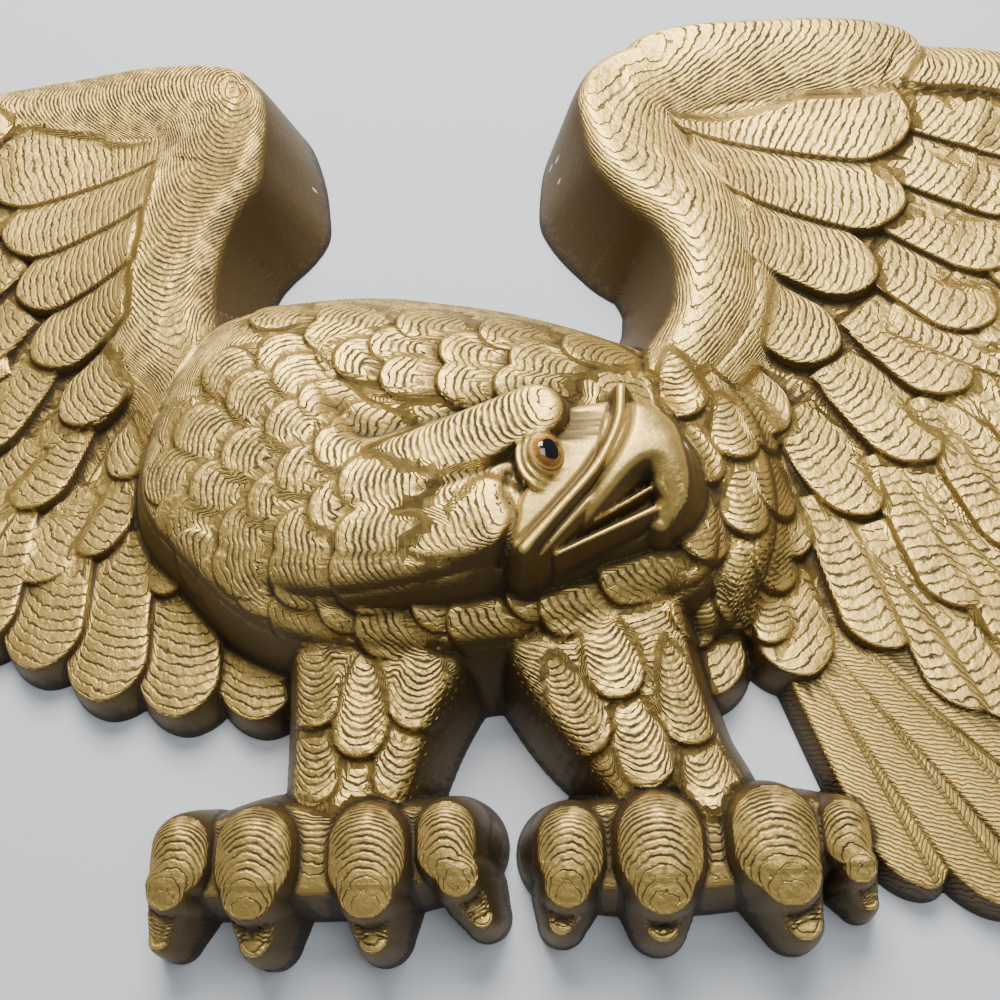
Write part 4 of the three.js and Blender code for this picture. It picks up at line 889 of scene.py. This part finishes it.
def mesh_object(name, vertices, faces, metres=True):
    """New object at the origin from arrays of vertices, in millimetres or metres, and of faces
    that all have the same number of corners."""
    mesh = bpy.data.meshes.new(name)
    co = np.asarray(vertices, np.float32) * (MM if metres else 1)
    mesh.vertices.add(len(co))
    mesh.vertices.foreach_set("co", co.ravel())
    faces = np.asarray(faces, np.int32)
    mesh.loops.add(faces.size)
    mesh.loops.foreach_set("vertex_index", faces.ravel())
    mesh.polygons.add(len(faces))
    mesh.polygons.foreach_set("loop_start", np.arange(0, faces.size, faces.shape[1], dtype=np.int32))
    mesh.update(calc_edges=True)
    mesh.validate()
    obj = bpy.data.objects.new(name, mesh)
    bpy.context.scene.collection.objects.link(obj)
    return obj


def rows_of(items, key):
    """Three numbers of each vertex or face, as rows."""
    out = np.empty(len(items) * 3)
    items.foreach_get(key, out)
    return out.reshape(-1, 3)


def apply_modifiers(obj):
    """Puts the result of the modifiers into the mesh and takes them off."""
    graph = bpy.context.evaluated_depsgraph_get()
    done = bpy.data.meshes.new_from_object(obj.evaluated_get(graph))
    old = obj.data
    obj.modifiers.clear()
    obj.data = done
    bpy.data.meshes.remove(old)


def close_back(obj):
    """Fills the open edge loops in the wall plane with one flat back, its holes left open.
    Crumbs, faces with two or more open edges, are taken out, and the faces turn outwards:
    the mesh's signed volume is positive."""
    bm = bmesh.new()
    bm.from_mesh(obj.data)
    rim = [e for e in bm.edges if e.is_boundary]
    for e in rim:
        for v in e.verts:
            v.co.y = 0
    bmesh.ops.triangle_fill(bm, use_beauty=True, use_dissolve=False, edges=rim, normal=(0, 1, 0))
    crumbs = [f for f in bm.faces if sum(e.is_boundary for e in f.edges) > 1]
    bmesh.ops.delete(bm, geom=crumbs, context="FACES")
    bmesh.ops.recalc_face_normals(bm, faces=bm.faces)
    if bm.calc_volume(signed=True) < 0:
        bmesh.ops.reverse_faces(bm, faces=bm.faces)
    bm.to_mesh(obj.data)
    bm.free()


def add_marks(obj, relief):
    """Stores what the finish needs per vertex: the value and slope of the contour lines, how
    far the surface stands above its own blurred form, and the marks of plates and tail."""
    x, _, z = (rows_of(obj.data.vertices, "co") / MM).T
    ring = blurred(relief.ring, relief.pitch, BLUR["ring"])
    rz, rx = np.gradient(ring, relief.pitch)
    body = np.maximum(relief.height, 0)
    grids = {"ring": ring, "ring_slope": eroded(np.hypot(rx, rz), LEAST_REACH), **relief.marks}
    for name in ("proud", "proud_wide"):
        grids[name] = body - blurred(body, relief.pitch, BLUR[name])
    for name, grid in grids.items():
        layer = obj.data.attributes.new(name, "FLOAT", "POINT")
        layer.data.foreach_set("value", sample(relief, grid, x, z).astype(np.float32))


class NodeSheet:
    """Short way to lay out shader nodes: each call adds a node and joins its inputs."""

    def __init__(self, tree):
        self.tree = tree

    def join(self, socket, value):
        """Links another node's socket, or sets a constant."""
        if isinstance(value, bpy.types.NodeSocket):
            self.tree.links.new(value, socket)
        else:
            socket.default_value = value

    def add(self, kind, inputs=None, **settings):
        node = self.tree.nodes.new(kind)
        for key, value in settings.items():
            setattr(node, key, value)
        for key, value in (inputs or {}).items():
            self.join(node.inputs[key], value)
        return node

    def math(self, operation, *values, clamp=False):
        pairs = dict(enumerate(values))
        return self.add("ShaderNodeMath", pairs, operation=operation, use_clamp=clamp).outputs[0]

    def plus(self, a, b):
        return self.math("ADD", a, b)

    def minus(self, a, b, clamp=False):
        return self.math("SUBTRACT", a, b, clamp=clamp)

    def times(self, a, b):
        return self.math("MULTIPLY", a, b)

    def over(self, a, b):
        return self.math("DIVIDE", a, b)

    def larger(self, a, b):
        return self.math("MAXIMUM", a, b)

    def ramp(self, value, low, high, to_low=0.0, to_high=1.0):
        """Smooth step of a value between two limits."""
        inputs = {"Value": value, "From Min": low, "From Max": high, "To Min": to_low, "To Max": to_high}
        return self.add("ShaderNodeMapRange", inputs, interpolation_type="SMOOTHSTEP").outputs[0]

    def mix(self, share, one, two):
        """Mix of two colours or vectors: the second one's share goes from 0 to 1."""
        return self.add("ShaderNodeMix", {0: share, 6: one, 7: two}, data_type="RGBA").outputs[2]

    def noise(self, vector, name):
        scale, detail, roughness = NOISES[name]
        inputs = {"Vector": vector, "Scale": scale, "Detail": detail, "Roughness": roughness}
        return self.add("ShaderNodeTexNoise", inputs).outputs[0]

    def shift(self, vector, name):
        """Noise round zero, half of its shift to either side."""
        return self.times(self.minus(self.noise(vector, name), 0.5), SHIFTS[name])

    def mark(self, name):
        return self.add("ShaderNodeAttribute", attribute_name=name).outputs["Fac"]


def new_material(name):
    """Empty material and its sheet."""
    material = bpy.data.materials.new(name)
    material.use_nodes = True
    material.node_tree.nodes.clear()
    return material, NodeSheet(material.node_tree)


def carving_rings():
    """Group of the carver's contour lines. A depth, made a little unsteady by noise, is
    divided by the pitch; the distance to the nearest line along the surface is the
    distance in depth over the slope. Puts out the mask of the lines and the height of the
    flat terraces between them."""
    group = bpy.data.node_groups.new("Carving rings", "ShaderNodeTree")
    sockets = {"INPUT": ("Depth", "Slope", "Pitch", "Width", "Wander"), "OUTPUT": ("Line", "Terrace")}
    for side, labels in sockets.items():
        for label in labels:
            group.interface.new_socket(label, in_out=side, socket_type="NodeSocketFloat")
    s = NodeSheet(group)
    take = s.add("NodeGroupInput").outputs
    place = s.add("ShaderNodeTexCoord").outputs["Object"]
    drift = s.plus(s.shift(place, "sway"), s.shift(place, "shiver"))
    depth = s.plus(take["Depth"], s.times(drift, take["Wander"]))
    phase = s.math("FRACT", s.over(depth, take["Pitch"]))
    off = s.times(s.math("ABSOLUTE", s.minus(phase, 0.5)), take["Pitch"])
    along_surface = s.over(off, s.larger(take["Slope"], LINES["slope"]))
    wear = s.ramp(s.noise(place, "wear"), LINES["worn"], LINES["whole"], LINES["left"], 1.0)
    line = s.times(s.ramp(along_surface, take["Width"], 0.0), wear)
    # distance from the last line, 0 at a line and growing to 1 at the next
    rise = s.math("FRACT", s.plus(phase, 0.5))
    terrace = s.times(s.minus(0.5, rise), take["Pitch"])
    s.add("NodeGroupOutput", {"Line": line, "Terrace": terrace})
    return group


def paint_chips(s, place):
    """Mask of ragged round patches: 1 inside the nearest chip's radius, 0 outside all."""
    mask = 0.0
    for x, z, radius in CHIPS:
        flat = s.add("ShaderNodeVectorMath", {0: place, 1: (1, 0, 1)}, operation="MULTIPLY").outputs[0]
        centre = (x * MM, 0, z * MM)
        away = s.add("ShaderNodeVectorMath", {0: flat, 1: centre}, operation="DISTANCE").outputs["Value"]
        ragged = s.plus(away, s.shift(place, "ragged"))
        mask = s.larger(mask, s.ramp(ragged, *(radius * MM * share for share in CHIP_EDGE)))
    return mask


def tail_barbs(s, place, reads):
    """Masks of the tail's barbs, lines that leave the shaft slantwise, and of its shafts."""
    phase = s.math("FRACT", s.over(s.plus(reads["barb"], s.shift(place, "wobble")), BARBS["pitch"]))
    barb = s.ramp(s.math("ABSOLUTE", s.minus(phase, 0.5)), BARBS["half"], 0.0)
    shaft = s.ramp(s.math("ABSOLUTE", reads["shaft"]), *BARBS["shaft"])
    return s.times(barb, reads["vane"]), s.times(shaft, reads["vane"])


def slope_off_wall(s, bare):
    """Tangent of the angle between the normal and Y, of each facet where the surface is
    carved and of the smooth surface on the bare plates."""
    shape = s.add("ShaderNodeNewGeometry").outputs
    normal = s.mix(bare, shape["True Normal"], shape["Normal"])
    facing = s.add("ShaderNodeSeparateXYZ", {0: normal}).outputs[1]
    facing = s.larger(s.math("ABSOLUTE", facing), LEAST_FACING)
    return s.math("SQRT", s.minus(s.math("POWER", facing, -2.0), 1.0))


def gilded_finish(settings, rings):
    """Gold-bronze paint: bright on the flats, brown paint and painted shade on the steep walls, dark
    patina and painted shade in the lines and hollows, with a fine grain, tail barbs and a few chips down to
    the pale cast."""
    material, s = new_material("Gold paint on casting")
    place = s.add("ShaderNodeTexCoord").outputs["Object"]
    marks = ("ring", "ring_slope", "bare", "barb", "vane", "shaft", "proud", "proud_wide")
    reads = {name: s.mark(name) for name in marks}
    reads.update({name: s.noise(place, name) for name in ("patch", "speck", "grain", "pits")})
    reads["slope"] = slope_off_wall(s, reads["bare"])
    mask = {name: s.ramp(reads[source], zero, one) for name, (source, zero, one) in MASKS.items()}

    carved = s.times(mask["carved"], s.minus(1.0, reads["vane"], clamp=True))
    carved = s.times(carved, mask["gentle"])
    ring = s.add("ShaderNodeGroup", {
        "Depth": reads["ring"], "Slope": reads["ring_slope"], "Pitch": settings.ring_pitch / MM,
        "Width": settings.line_width / MM, "Wander": LINES["wander"],
    }, node_tree=rings).outputs
    line, terrace = s.times(ring["Line"], carved), s.times(ring["Terrace"], carved)
    barb, shaft = tail_barbs(s, place, reads)
    chip = paint_chips(s, place)
    # Contour lines, barbs and shafts are painted dark: patina and painted shade in the grooves
    cut = s.larger(line, s.times(s.larger(barb, shaft), BARB_DARK))

    tone = {name: tuple(min(1, c * share) for c in getattr(settings, source)) + (1.0,)
            for name, (source, share) in TONES.items()}
    colour = tone["gold"]
    # Coats: dull patches, worn specks, lighter crests, and painted shade with brown paint and patina on the
    # walls and in the hollows
    for name, share, coat in COATS:
        colour = s.mix(s.times(mask[name], share), colour, tone[coat])
    # Painted shade and patina in the contour lines, barbs and shafts
    colour = s.mix(cut, colour, tone["dark"])
    colour = s.mix(chip, colour, PALE_CAST)

    dull = s.larger(s.larger(s.times(mask["wall"], WALL_DULL), mask["hollow"]), cut)
    metal = s.minus(METAL["clean"], s.times(dull, METAL["dull"]), clamp=True)
    metal = s.times(metal, s.minus(1.0, chip))
    rough = s.plus(s.ramp(reads["grain"], *ROUGH["grain"], *ROUGH["clean"]), s.times(dull, ROUGH["dull"]))

    height = s.times(terrace, settings.terrace)
    reads.update({"line": line, "barb": barb, "shaft": shaft, "chip": chip})
    for name, depth in CUTS.items():
        height = s.plus(height, s.times(reads[name], depth))
    bump = s.add("ShaderNodeBump", {"Strength": 1.0, "Distance": MM, "Height": height})
    shader = s.add("ShaderNodeBsdfPrincipled", {
        "Base Color": colour, "Metallic": metal, "Roughness": rough, "Normal": bump.outputs[0],
    })
    s.add("ShaderNodeOutputMaterial", {"Surface": shader.outputs[0]})
    return material


def eye_finish(settings):
    """Glass eye: black pupil, streaked amber iris and a dark rim, under a clear coat.
    The pattern is a function of the distance from the lens's own axis."""
    material, s = new_material("Amber glass eye")
    place = s.add("ShaderNodeTexCoord").outputs["Object"]
    centre = (EYE["x"] * MM, EYE["y"] * MM, EYE["z"] * MM)
    turned = s.add("ShaderNodeMapping", {
        "Vector": place, "Location": centre, "Rotation": (0, 0, math.radians(EYE["turn"])),
    }, vector_type="TEXTURE").outputs[0]
    x, _, z = s.add("ShaderNodeSeparateXYZ", {0: turned}).outputs
    x = s.plus(x, settings.aim)
    r = s.math("SQRT", s.plus(s.math("POWER", x, 2.0), s.math("POWER", z, 2.0)))
    r = s.over(r, EYE["radius"] * MM)
    turn = s.times(s.math("ARCTAN2", z, x), STREAKS["round"])
    ray = s.add("ShaderNodeCombineXYZ", {0: turn, 1: s.times(r, STREAKS["outward"])}).outputs[0]
    streak = s.ramp(s.noise(ray, "streak"), *STREAKS["limits"])
    amber = tuple(settings.iris) + (1.0,)
    deep = tuple(c * DEEP_AMBER for c in settings.iris) + (1.0,)
    colour = s.mix(s.ramp(r, *IRIS_RINGS["amber"]), deep, s.mix(streak, amber, deep))
    colour = s.mix(s.ramp(r, *IRIS_RINGS["pale"]), colour, PALE_IRIS)
    colour = s.mix(s.ramp(r, *IRIS_RINGS["edge"]), colour, deep)
    edge = s.ramp(r, settings.pupil - PUPIL_SOFT, settings.pupil + PUPIL_SOFT)
    colour = s.mix(edge, PUPIL, colour)
    shader = s.add("ShaderNodeBsdfPrincipled", {
        "Base Color": colour, "Roughness": 0.06, "Coat Weight": 1.0, "Coat Roughness": 0.02, "IOR": 1.5,
    })
    s.add("ShaderNodeOutputMaterial", {"Surface": shader.outputs[0]})
    return material


def lens_surface(rings, sides):
    """Turned cabochon: flat back, a narrow level rim, then a quarter-ellipse dome; the
    profile is swept round the axis, turned outwards about Z and moved to its socket."""
    flat = np.radians(np.linspace(0, 90, rings))
    edge = EYE["radius"] - EYE["rim"]
    radius = np.concatenate([[0, EYE["radius"], EYE["radius"]], edge * np.cos(flat)])
    stand = np.concatenate([[-EYE["back"], -EYE["back"], 0], EYE["step"] + EYE["dome"] * np.sin(flat)])
    radius[-1] = 0
    a = np.linspace(0, 2 * np.pi, sides, endpoint=False)
    x = radius[:, None] * np.cos(a)
    z = radius[:, None] * np.sin(a)
    y = -stand[:, None] + np.zeros(len(a))
    t = math.radians(EYE["turn"])
    across = EYE["x"] + x * math.cos(t) - y * math.sin(t)
    ahead = EYE["y"] + x * math.sin(t) + y * math.cos(t)
    points = np.stack([across, ahead, EYE["z"] + z], -1).reshape(-1, 3)
    j, i = np.meshgrid(np.arange(len(radius) - 1), np.arange(sides), indexing="ij")
    nxt = (i + 1) % sides
    quads = np.stack([j * sides + i, j * sides + nxt, (j + 1) * sides + nxt, (j + 1) * sides + i], -1)
    return points, quads.reshape(-1, 4)


def pixel_ray(pixel):
    """Ray through a pixel in camera coordinates: right, down, ahead."""
    across, down = ((p - CAMERA["centre"]) / CAMERA["focal"] for p in pixel)
    return np.array([across, down, 1.0])


def camera_axes():
    """Wall axes X, Y, Z in camera coordinates (right, down, ahead). The ray through the
    square-on pixel is Y; Z is the camera's up less its part along Y, then rolled."""
    ahead = pixel_ray(CAMERA["square"])
    ahead /= np.linalg.norm(ahead)
    up = np.array([0, -1.0, 0])
    z = up - ahead * up.dot(ahead)
    z /= np.linalg.norm(z)
    x = np.cross(ahead, z)
    a = math.radians(CAMERA["roll"])
    return math.cos(a) * x + math.sin(a) * z, ahead, math.cos(a) * z - math.sin(a) * x


def camera_place(axes):
    """Camera point in millimetres, from the pixel of the wall point that is the origin."""
    ray = pixel_ray(CAMERA["origin"])
    reach = CAMERA["distance"] / ray.dot(axes[1])
    return -reach * ray.dot(axes[0]), -CAMERA["distance"], -reach * ray.dot(axes[2])


class CastingSettings(bpy.types.PropertyGroup):
    """Sizes and colours of the casting."""
    pitch: FloatProperty(
        name="Field pitch", description="Spacing of the relief's grid, in millimetres",
        default=0.75, min=0.4, max=2)
    triangles: IntProperty(
        name="Triangles", description="Triangles kept on the casting", default=190000, min=20000, max=198000)
    ring_pitch: FloatProperty(
        name="Ring pitch", description="Depth from one contour line to the next",
        default=0.0012, unit="LENGTH")
    line_width: FloatProperty(
        name="Line width", description="Half width of a contour line", default=0.0009, unit="LENGTH")
    terrace: FloatProperty(
        name="Terrace", description="Share of the flat step between lines", default=0.42, min=0, max=1)
    gold: FloatVectorProperty(
        name="Gold", description="Paint on the flats", subtype="COLOR",
        default=(0.72, 0.5, 0.15), min=0, max=1)
    # Brown of the steep walls and broad hollows: paint and patina, and painted shade there
    brown: FloatVectorProperty(
        name="Brown", description="Paint and painted shade on steep walls", subtype="COLOR",
        default=(0.088, 0.055, 0.022), min=0, max=1)
    # Dark of the contour lines, barbs, shafts and narrow hollows: patina and painted shade
    dark: FloatVectorProperty(
        name="Dark", description="Patina and painted shade in lines and hollows", subtype="COLOR",
        default=(0.03, 0.02, 0.009), min=0, max=1)


class EyeSettings(bpy.types.PropertyGroup):
    """Colours of the glass eye."""
    iris: FloatVectorProperty(
        name="Iris", description="Amber of the iris", subtype="COLOR",
        default=(0.62, 0.27, 0.045), min=0, max=1)
    aim: FloatProperty(
        name="Aim", description="How far the pupil sits towards the viewer's left",
        default=0.0005, unit="LENGTH")
    pupil: FloatProperty(
        name="Pupil", description="Pupil's share of the lens radius", default=0.56, min=0.1, max=0.9)


class StageSettings(bpy.types.PropertyGroup):
    """Wall and lights."""
    wall: FloatVectorProperty(
        name="Wall", description="Pale wall behind the plaque", subtype="COLOR",
        default=(0.62, 0.64, 0.67), min=0, max=1)
    key: FloatProperty(
        name="Key light", description="Large soft light above", default=48.0, unit="POWER")
    fill: FloatProperty(
        name="Fill light", description="Weak light from the front, and from behind",
        default=10.0, unit="POWER")
    world: FloatProperty(
        name="Surroundings", description="Strength of the even pale surroundings", default=0.15, min=0)


class EAGLE_OT_casting(bpy.types.Operator):
    """Builds the relief casting and gives it its gold paint"""
    bl_idname = "eagle.casting"
    bl_label = "Casting"

    def execute(self, context):
        settings = context.scene.eagle_casting
        relief = make_relief(settings.pitch)
        vertices, triangles = front_surface(relief)
        obj = mesh_object("eagle_relief", vertices, triangles)
        thin = obj.modifiers.new("thin", "DECIMATE")
        thin.ratio = (settings.triangles - RIM_AND_BACK) / len(triangles)
        apply_modifiers(obj)
        close_back(obj)
        inside = np.clip(rows_of(obj.data.vertices, "co"), *np.array(CASTING_BOX))
        obj.data.vertices.foreach_set("co", inside.ravel())
        add_marks(obj, relief)
        level = np.abs(rows_of(obj.data.polygons, "normal")[:, 1] - 1) <= LEVEL
        obj.data.polygons.foreach_set("use_smooth", ~level)
        obj.data.materials.append(gilded_finish(settings, carving_rings()))
        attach(obj, "root")
        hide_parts("eagle_casting")
        return {"FINISHED"}


class EAGLE_OT_eye(bpy.types.Operator):
    """Builds the glass lens in its socket"""
    bl_idname = "eagle.eye"
    bl_label = "Glass eye"

    def execute(self, context):
        points, quads = lens_surface(LENS["rings"], LENS["sides"])
        points = np.clip(points * MM, *np.array(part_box("glass_eye")))
        obj = mesh_object("eye_lens", points, quads, metres=False)
        bm = bmesh.new()
        bm.from_mesh(obj.data)
        bmesh.ops.remove_doubles(bm, verts=bm.verts, dist=LENS["weld"])
        bmesh.ops.recalc_face_normals(bm, faces=bm.faces)
        bm.to_mesh(obj.data)
        bm.free()
        obj.data.polygons.foreach_set("use_smooth", np.ones(len(obj.data.polygons), bool))
        obj.data.materials.append(eye_finish(context.scene.eagle_eye))
        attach(obj, "root")
        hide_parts("glass_eye")
        return {"FINISHED"}


def add_light(name, place, size, colour, power):
    """Area light at a place in metres, turned towards the origin."""
    data = bpy.data.lights.new(name, "AREA")
    data.shape = "RECTANGLE"
    data.size, data.size_y = size
    data.energy = power
    data.color = colour
    light = bpy.data.objects.new(name, data)
    light.location = place
    light.rotation_euler = (Vector((0, 0, 0)) - Vector(place)).to_track_quat("-Z", "Y").to_euler()
    bpy.context.scene.collection.objects.link(light)


def wall_finish(colour):
    """Pale matt wall, clear when seen from behind, so that the plaque's back can be looked at."""
    material, s = new_material("Pale wall")
    matt = s.add("ShaderNodeBsdfPrincipled", {"Base Color": tuple(colour) + (1.0,), "Roughness": 0.9})
    clear = s.add("ShaderNodeBsdfTransparent")
    behind = s.add("ShaderNodeNewGeometry").outputs["Backfacing"]
    both = s.add("ShaderNodeMixShader", {0: behind, 1: matt.outputs[0], 2: clear.outputs[0]})
    s.add("ShaderNodeOutputMaterial", {"Surface": both.outputs[0]})
    return material


class EAGLE_OT_stage(bpy.types.Operator):
    """Sets up the pale wall, the soft lights, the surroundings and the camera"""
    bl_idname = "eagle.stage"
    bl_label = "Stage"

    def execute(self, context):
        settings = context.scene.eagle_stage
        half, gap = WALL["half"], WALL["gap"]
        corners = [(-half, gap, -half), (half, gap, -half), (half, gap, half), (-half, gap, half)]
        wall = mesh_object("wall_panel", corners, [[0, 1, 2, 3]], metres=False)
        wall.data.materials.append(wall_finish(settings.wall))
        for name, place, size, colour, power in LIGHTS:
            add_light(name, place, size, colour, getattr(settings, power))
        world = bpy.data.worlds.new("Pale surroundings")
        world.use_nodes = True
        back = world.node_tree.nodes["Background"]
        back.inputs[0].default_value = SURROUNDINGS
        back.inputs[1].default_value = settings.world
        context.scene.world = world
        axes = camera_axes()
        data = bpy.data.cameras.new("photo_view")
        data.sensor_width = SENSOR
        data.lens = SENSOR * CAMERA["focal"] / (2 * CAMERA["centre"])
        data.clip_start, data.clip_end = CLIP
        camera = bpy.data.objects.new("photo_view", data)
        right, down, ahead = (Vector([axis[k] for axis in axes]) for k in range(3))
        turn = Matrix((right, -down, -ahead)).transposed().to_4x4()
        camera.matrix_world = Matrix.Translation(Vector(camera_place(axes)) * MM) @ turn
        context.scene.collection.objects.link(camera)
        context.scene.camera = camera
        return {"FINISHED"}


class EAGLE_PT_panel(bpy.types.Panel):
    """Panel with the plaque's settings and the buttons that build it"""
    bl_idname = "EAGLE_PT_panel"
    bl_label = "Eagle plaque"
    bl_space_type = "VIEW_3D"
    bl_region_type = "UI"
    bl_category = "Eagle plaque"

    def draw(self, context):
        for name, operator in STEPS:
            settings = getattr(context.scene, name)
            box = self.layout.box()
            for key in settings.__annotations__:
                box.prop(settings, key)
            box.operator(operator)


STEPS = (("eagle_casting", "eagle.casting"), ("eagle_eye", "eagle.eye"), ("eagle_stage", "eagle.stage"))
SETTINGS = {"eagle_casting": CastingSettings, "eagle_eye": EyeSettings, "eagle_stage": StageSettings}
CLASSES = (*SETTINGS.values(), EAGLE_OT_casting, EAGLE_OT_eye, EAGLE_OT_stage, EAGLE_PT_panel)


def register():
    for item in CLASSES:
        bpy.utils.register_class(item)
    for name, kind in SETTINGS.items():
        setattr(bpy.types.Scene, name, PointerProperty(type=kind))


def unregister():
    for name in SETTINGS:
        delattr(bpy.types.Scene, name)
    for item in reversed(CLASSES):
        bpy.utils.unregister_class(item)


def main():
    register()
    bpy.ops.eagle.casting()
    bpy.ops.eagle.eye()
    bpy.ops.eagle.stage()


if __name__ == "__main__":
    main()
